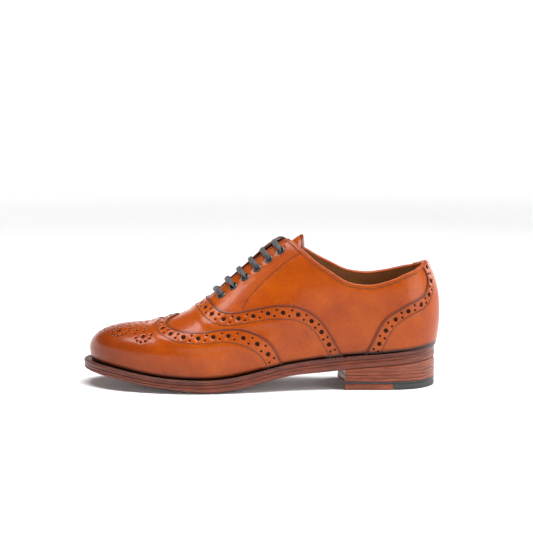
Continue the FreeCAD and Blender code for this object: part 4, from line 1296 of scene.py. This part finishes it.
def lace_route():
    """The whole lace as pattern points with lifts, from one tucked end to the other."""
    first = bar_points(0, "medial")
    up_lateral = (under_points(0, 1, "lateral") + bar_points(1, "lateral")
                  + under_points(1, 3, "medial", -LACE_SWAY) + bar_points(3, "medial")
                  + under_points(3, 5, "lateral", -LACE_SWAY) + bar_points(5, "lateral")
                  + tail_points(5, "medial"))
    up_medial = (under_points(0, 2, "medial", LACE_SWAY) + bar_points(2, "medial")
                 + under_points(2, 4, "lateral", LACE_SWAY) + bar_points(4, "lateral")
                 + tail_points(4, "medial"))
    return np.array(up_medial[::-1] + first + up_lateral)


def flat_frames(line, ways, ups):
    """Directions across a flat cord, turning towards the surface below it."""
    sideways = np.zeros_like(line)
    current = np.cross(ups[0], ways[0])
    for i, (way, up) in enumerate(zip(ways, ups)):
        wish = np.cross(up, way)
        if wish @ current < 0:
            wish = -wish
        current = current + wish * (wish @ wish) * 0.2
        current = current - way * (way @ current)
        current /= np.linalg.norm(current)
        sideways[i] = current
    return sideways


def lace():
    """The flat woven lace, barred straight across and tucked in at both ends."""
    route = lace_route()
    knots = lifted(route[:, :2], route[:, 2])
    curve, length = by_length(knots)
    line = curve(np.arange(0, length, LACE_STEP))
    run = polyline_run(knots)
    at = np.arange(0, length, LACE_STEP)
    ups = outward(np.interp(at, run, route[:, 0]), np.interp(at, run, route[:, 1]))
    ways = directions(line)
    sideways = flat_frames(line, ways, ups)
    upright = np.cross(ways, sideways)
    count = 20
    shape = ellipse(*LACE_HALF, count)
    turn = np.arange(count) / count
    braid = (np.sin(2 * math.pi * (at[:, None] / BRAID_PITCH + 4 * turn))
             * np.sin(2 * math.pi * (at[:, None] / BRAID_PITCH - 4 * turn)))
    size = 1 + BRAID_RELIEF * braid
    rings = (line[:, None] + sideways[:, None] * (shape[None, :, :1] * size[..., None])
             + upright[:, None] * (shape[None, :, 1:] * size[..., None]))
    _, faces = swept(line, sideways, upright, shape)
    piece = make_object("lace", rings.reshape(-1, 3), faces, [FINISHES["lace_cotton"]],
                        sharp_angle=80)
    hand_over(piece, nodes=["lace"])


# ---------------------------------------------------------------- stitching
STITCH_SHARE = 0.56           # how much of the pitch a thread shows
THREAD_RADIUS = 0.52
THREAD_SIDES = 6
THREAD_RINGS = ((0.0, 0.35, -0.28), (0.12, 0.8, 0.0), (0.5, 1.0, 0.12), (0.88, 0.8, 0.0),
                (1.0, 0.35, -0.28))


def thread(start, end, normal, radius):
    """One stitch, dipping into the leather at both ends."""
    way = end - start
    side = np.cross(normal, way)
    side /= np.linalg.norm(side)
    middle = np.array([start + way * share + normal * lift
                       for share, _, lift in THREAD_RINGS])
    angle = np.arange(THREAD_SIDES) * 2 * math.pi / THREAD_SIDES
    ring = np.cos(angle)[:, None] * side + np.sin(angle)[:, None] * normal
    points = [point + ring * radius * size
              for point, (_, size, _) in zip(middle, THREAD_RINGS)]
    return np.vstack(points), THREAD_FACES


def thread_faces():
    faces = [face[::-1] for face in ring_faces(len(THREAD_RINGS), THREAD_SIDES)]
    last = (len(THREAD_RINGS) - 1) * THREAD_SIDES
    ends = [tuple(range(THREAD_SIDES)), tuple(last + k for k in range(THREAD_SIDES))[::-1]]
    return faces + ends


THREAD_FACES = thread_faces()


def stitches(points, normals, radius=THREAD_RADIUS, share=STITCH_SHARE):
    """Threads between neighbouring points of a row."""
    parts = []
    for a, b, up in zip(points[:-1], points[1:], normals[:-1]):
        gap = (b - a) * (1 - share) / 2
        parts.append(thread(a + gap, b - gap, up, radius))
    return parts


def row_on_skin(path, lift, pitch=STITCH_PITCH):
    """Stitches along a pattern path."""
    path = evenly(path, pitch)
    p, q = path.T
    height = lift(path) if callable(lift) else np.full(len(path), lift)
    return stitches(skin(p, q) + outward(p, q) * height[:, None], outward(p, q))


def stitched(name, rows, body="shoe", finish="thread"):
    parts = [part for row in rows for part in row]
    piece = make_object(name, *joined(parts), [FINISHES[finish]])
    hand_over(piece, body)


def kept(path, mask):
    """The longest unbroken stretch of a path where a mask holds."""
    breaks = np.flatnonzero(np.diff(np.concatenate([[0], mask.astype(int), [0]])))
    starts, ends = breaks[::2], breaks[1::2]
    best = np.argmax(ends - starts)
    return path[starts[best]:ends[best]]


def upper_stitching():
    sunk = OVERLAY_TOP - GROOVE_DEPTH + 0.1
    stitched("stitching_toe_cap", [row_on_skin(path, sunk) for path in spans(WING_LINE)])
    stitched("stitching_vamp", [row_on_skin(path, sunk) for path in spans(VAMP_LINE)])
    counter_rows = []
    for side, sign in SIDES.items():
        line = counter_line(side)
        counter_rows += [row_on_skin(beside(line, sign * inset), sunk)
                         for inset in (STITCH_INSET, BAND_WIDTH - 1)]
    stitched("stitching_counter", counter_rows)
    flat = 0.1 - GROOVE_DEPTH
    for side in SIDES:
        topline = topline_stitch_line(side)
        topline = topline[topline[:, 0] < HEEL_TAB[0] + 1]
        facing = facing_stitch_line(side)
        stitched("stitching_topline_" + side, [row_on_skin(topline, flat)])
        stitched("stitching_facing_" + side,
                 [row_on_skin(facing, flat), row_on_skin(stay_stitch_line(side), flat, 1.6)])
    loop = anticlockwise(evenly(tongue_loop(), 1.0, closed=True))
    row = np.roll(inset_loop(loop, TONGUE_STITCH), len(loop) // 2, axis=0)
    row = kept(row, row[:, 0] > TONGUE_ROOT_P + 4)
    lift = tongue_level(TONGUE_LEVELS[1] + flat)
    stitched("stitching_tongue", [row_on_skin(row, lift)], "tongue")


# ---------------------------------------------------------------- sole and heel
SOLE_STEP = 2.0
SLAB_SPACING = 6.0            # between points inside a flat face
EDGE_LAYERS = ((0.55, 0.0), (0.16, 0.14), (0.0, 0.34), (0.0, 0.66), (0.16, 0.86), (0.55, 1.0))


def below_welt(depth):
    return lambda x, y: WELT_Z(x) - depth


def flat_at(z):
    return lambda x, y: np.full(len(x), float(z))


def slab(name, loop, low, high, finish, layers=EDGE_LAYERS, nodes=None):
    """A layer of the bottom with a plan outline, two faces and a shaped edge.

    It stands in for the solid of its own name unless nodes says otherwise.
    layers lists the inset of the edge and its height as a share, from the bottom up."""
    loop = anticlockwise(loop)
    size = len(loop)
    plans = [inset_loop(loop, inset) for inset, _ in layers]
    rings = []
    for plan, (_, share) in zip(plans, layers):
        bottom, top = low(*plan.T), high(*plan.T)
        rings.append(np.column_stack([plan, bottom + (top - bottom) * share]))
    vertices, faces = [np.vstack(rings)], ring_faces(len(layers), size)
    count = len(layers) * size
    for plan, height, first, upwards in ((plans[0], low, 0, False),
                                         (plans[-1], high, (len(layers) - 1) * size, True)):
        fill = filling(plan, SLAB_SPACING, SLAB_SPACING * 0.4)
        flat = np.vstack([plan, fill])
        triangles = triangles_of(flat, [(k, (k + 1) % size) for k in range(size)])
        triangles = triangles[inside(flat[triangles].mean(1), plan)]
        names = np.concatenate([np.arange(first, first + size),
                                np.arange(count, count + len(fill))])
        faces += names[triangles if upwards else triangles[:, ::-1]].tolist()
        vertices.append(np.column_stack([fill, height(*fill.T)]))
        count += len(fill)
    piece = make_object(name, np.vstack(vertices), faces, [FINISHES[finish]], sharp_angle=40)
    hand_over(piece, nodes=[name] if nodes is None else nodes)


def plan_run(start, end, inset=0.0, step=SOLE_STEP):
    """The sole outline between two places along it."""
    count = int(abs(end - start) / step)
    t = np.linspace(start, end, count + 1)
    return inset_points(t, np.full(len(t), inset))


def full_plan(inset=0.0):
    return plan_run(0, OUTLINE_LENGTH, inset)[:-1]


def edge_band(x, round_heel):
    """The welt's plan between its two ends, round the toe or round the heel."""
    start, end = outline_at(x, "lateral"), outline_at(x, "medial")
    if round_heel:
        end -= OUTLINE_LENGTH
    return np.vstack([plan_run(start, end), plan_run(end, start, WELT_WIDTH)])


BREAST_CORNERS = {"lateral": -34.2, "medial": 28.0}   # y of the breast's two ends


def breast_x(y):
    """The hollow front face of the heel."""
    deepest_x, deepest_y = HEEL_BREAST_DEEPEST
    return deepest_x - HEEL_BREAST_RADIUS + np.sqrt(HEEL_BREAST_RADIUS ** 2 - (y - deepest_y) ** 2)


def cut_across(loop, at, sign):
    """The part of a closed loop in front of (sign 1) or behind (sign -1) a line across."""
    kept = []
    for here, after in zip(loop, np.roll(loop, -1, axis=0)):
        if sign * here[0] <= sign * at:
            kept.append(here)
        if (here[0] < at) != (after[0] < at):
            kept.append(here + (after - here) * (at - here[0]) / (after[0] - here[0]))
    return np.array(kept)


def heel_plan(inset=0.0):
    """The heel's plan with its hollow front."""
    start, end = (outline_at(breast_x(y), side) for side, y in BREAST_CORNERS.items())
    around = plan_run(start, end - OUTLINE_LENGTH, inset)
    y = np.linspace(around[-1, 1], around[0, 1], 30)[1:-1]
    return np.vstack([around, np.column_stack([breast_x(y), y])])


LAYER_GAP = 0.05              # left between layers so that they never share a face
WELT_WIDTH = 15.0
OUTSOLE_LAYERS = ((1.4, 0.0), (0.55, 0.1), (0.12, 0.3), (0.0, 0.55), (0.08, 0.86), (0.45, 1.0))
WELT_LAYERS = ((0.5, 0.0), (0.12, 0.12), (0.0, 0.36), (0.0, 0.66), (0.2, 0.88), (0.7, 1.0))
CROWN = 1.4                   # how far the outsole's edge curves up from the ground


def outsole_low(x, y):
    """The tread, a little crowned across the forepart."""
    near = 1 - smoothstep(20, 60, x)
    edge = distance_to(np.column_stack([x, y]), OUTLINE(np.linspace(0, OUTLINE_LENGTH, 160)))
    return TREAD_Z(x) + CROWN * near * (1 - smoothstep(0, 18, edge))


def bottom_layers():
    for name, plan in (("welt", edge_band(HEEL_BREAST_X, False)),
                       ("heel_rand", edge_band(HEEL_BREAST_X + 0.1, True))):
        slab(name, plan, below_welt(WELT_THICKNESS), below_welt(0.0), "welt_leather",
             WELT_LAYERS)
    depth = WELT_THICKNESS + MIDSOLE_THICKNESS
    slab("midsole", full_plan(0.25), below_welt(depth), below_welt(WELT_THICKNESS + LAYER_GAP),
         "sole_leather")
    slab("outsole", full_plan(0.1), outsole_low, below_welt(depth + LAYER_GAP), "sole_leather",
         OUTSOLE_LAYERS)


def heel_layers():
    low = TOP_LAYER_HEIGHT + LAYER_GAP
    for k in range(LIFT_COUNT):
        slab("heel_lift_%d" % (k + 1), heel_plan(), flat_at(low),
             flat_at(low + LIFT_THICKNESS - LAYER_GAP), "heel_leather")
        low += LIFT_THICKNESS
    slab("heel_wedge", heel_plan(), flat_at(low), lambda x, y: TREAD_Z(x) - LAYER_GAP,
         "heel_leather")
    slab("top_piece_layer", heel_plan(0.1), flat_at(TOP_PIECE_HEIGHT + LAYER_GAP),
         flat_at(TOP_LAYER_HEIGHT), "heel_rubber", nodes=["top_piece_rubber"])
    plan = heel_plan(0.2)
    slab("top_piece_rubber", cut_across(plan, TOP_PIECE_SPLIT_X, -1), flat_at(0.0),
         flat_at(TOP_PIECE_HEIGHT), "heel_rubber", nodes=[])
    slab("top_piece_leather", cut_across(plan, TOP_PIECE_SPLIT_X - 0.1, 1), flat_at(0.0),
         flat_at(TOP_PIECE_HEIGHT), "heel_leather")


WELT_STITCH_INSET = 2.6
WELT_STITCH_PITCH = 3.1


def welt_stitching():
    start, end = outline_at(HEEL_BREAST_X - 2, "lateral"), outline_at(HEEL_BREAST_X - 2, "medial")
    plan = evenly(plan_run(start, end, WELT_STITCH_INSET, 0.8), WELT_STITCH_PITCH)
    points = np.column_stack([plan, WELT_Z(plan[:, 0]) + 0.02])
    up = np.tile([0.0, 0.0, 1.0], (len(points), 1))
    stitched("stitching_welt", [stitches(points, up, 0.42, 0.8)], finish="welt_thread")


HIDDEN = {
    "vamp_lining": "lining_leather", "toe_puff": "backer_leather",
    "heel_stiffener": "backer_leather", "facing_stay_lateral": "backer_leather",
    "facing_stay_medial": "backer_leather", "insole": "backer_leather",
    "insole_rib": "backer_leather", "cork_filler": "cork", "waist_filler": "cork",
    "shank": "shank_steel", "sock_liner": "lining_leather", "heel_nails": "nail_brass",
    "lace_tips": "lace_tip_metal"}


def dress_hidden():
    """Finishes for the solids that stay as they are in the model."""
    for node, finish in HIDDEN.items():
        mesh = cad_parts[node].data
        mesh.materials.clear()
        mesh.materials.append(FINISHES[finish])


# ---------------------------------------------------------------- studio
ROOM_LIGHT = 0.05
FLOOR_PAPER = (0.88, 0.88, 0.88)
WALL_RADIUS = 4.0             # m
WALL_HEIGHT = 1.3
WALL_GLOW = 1.0
SUN_SPREAD, SUN_POWER, SUN_TILT = 45, 2.3, (0, 24, 0)
SOFTBOXES = {                 # place, aim and size in m, then power in W
    "top_light": ((-0.08, -0.12, 0.95), (-0.04, 0, 0.08), (1.2, 0.36), 13),
    "side_light": ((1.3, -0.85, 0.5), (0.06, 0, 0.06), (1.3, 0.9), 11),
    "back_light": ((1.0, 0.7, 0.5), (0.12, 0, 0.08), (0.8, 0.6), 6)}
CAMERA_PLACE = (0.0047, -1.300, 0.246)   # m
CAMERA_DIP = 6.35             # degrees below level
CAMERA_LENS = 102.9           # mm, on a 36 mm frame


def floor():
    bpy.ops.mesh.primitive_plane_add(size=2 * WALL_RADIUS, location=(0, 0, 0))
    plane = bpy.context.object
    plane.name = "floor"
    material, _, _ = node_material("floor_white", FLOOR_PAPER, 0.85)
    plane.data.materials.append(material)


def paper_wall():
    """A low, softly lit white wall that stands right round the floor."""
    bpy.ops.mesh.primitive_cylinder_add(vertices=96, radius=WALL_RADIUS, depth=WALL_HEIGHT,
                                        end_fill_type="NOTHING",
                                        location=(0, 0, WALL_HEIGHT / 2))
    wall = bpy.context.object
    wall.name = "paper_wall"
    material, _, shader = node_material("wall_white", FLOOR_PAPER, 0.85)
    shader.inputs["Emission Color"].default_value = (1, 1, 1, 1)
    shader.inputs["Emission Strength"].default_value = WALL_GLOW
    wall.data.materials.append(material)


def softbox(name, location, target, size, power):
    lamp = bpy.data.lights.new(name, "AREA")
    lamp.shape = "RECTANGLE"
    lamp.size, lamp.size_y = size
    lamp.energy = power
    holder = bpy.data.objects.new(name, lamp)
    bpy.context.scene.collection.objects.link(holder)
    holder.location = location
    aim = np.array(target) - np.array(location)
    pitch = math.atan2(math.hypot(aim[0], aim[1]), -aim[2])
    holder.rotation_euler = Euler((pitch, 0, math.atan2(-aim[0], aim[1])))


def sun(name, angle, power, tilt):
    """A broad soft light from far away."""
    lamp = bpy.data.lights.new(name, "SUN")
    lamp.energy = power
    lamp.angle = math.radians(angle)
    holder = bpy.data.objects.new(name, lamp)
    bpy.context.scene.collection.objects.link(holder)
    holder.rotation_euler = Euler([math.radians(turn) for turn in tilt])


def studio():
    """A pale floor inside a low white wall, a dim room and soft lamps."""
    floor()
    paper_wall()
    world = bpy.data.worlds.new("studio")
    world.use_nodes = True
    tree = world.node_tree
    tree.nodes["Background"].inputs["Strength"].default_value = ROOM_LIGHT
    tree.nodes["Background"].inputs["Color"].default_value = (1, 1, 1, 1)
    bpy.context.scene.world = world
    sun("sky_light", SUN_SPREAD, SUN_POWER, SUN_TILT)
    for name, setting in SOFTBOXES.items():
        softbox(name, *setting)
    bpy.context.scene.view_settings.view_transform = "Standard"


def camera():
    lens = bpy.data.cameras.new("camera")
    lens.sensor_width = 36
    lens.lens = CAMERA_LENS
    lens.clip_end = 20
    holder = bpy.data.objects.new("camera", lens)
    bpy.context.scene.collection.objects.link(holder)
    holder.location = CAMERA_PLACE
    holder.rotation_euler = Euler((math.radians(90 - CAMERA_DIP), 0, 0))
    bpy.context.scene.camera = holder


# ---------------------------------------------------------------- the scene
camera()
toe_cap()
vamp()
counter_cover()
tongue()
for SIDE in SIDES:
    quarter(SIDE)
    lining(SIDE)
    topline_binding(SIDE)
    eyelets(SIDE)
lace()
upper_stitching()
bottom_layers()
heel_layers()
welt_stitching()
dress_hidden()
studio()
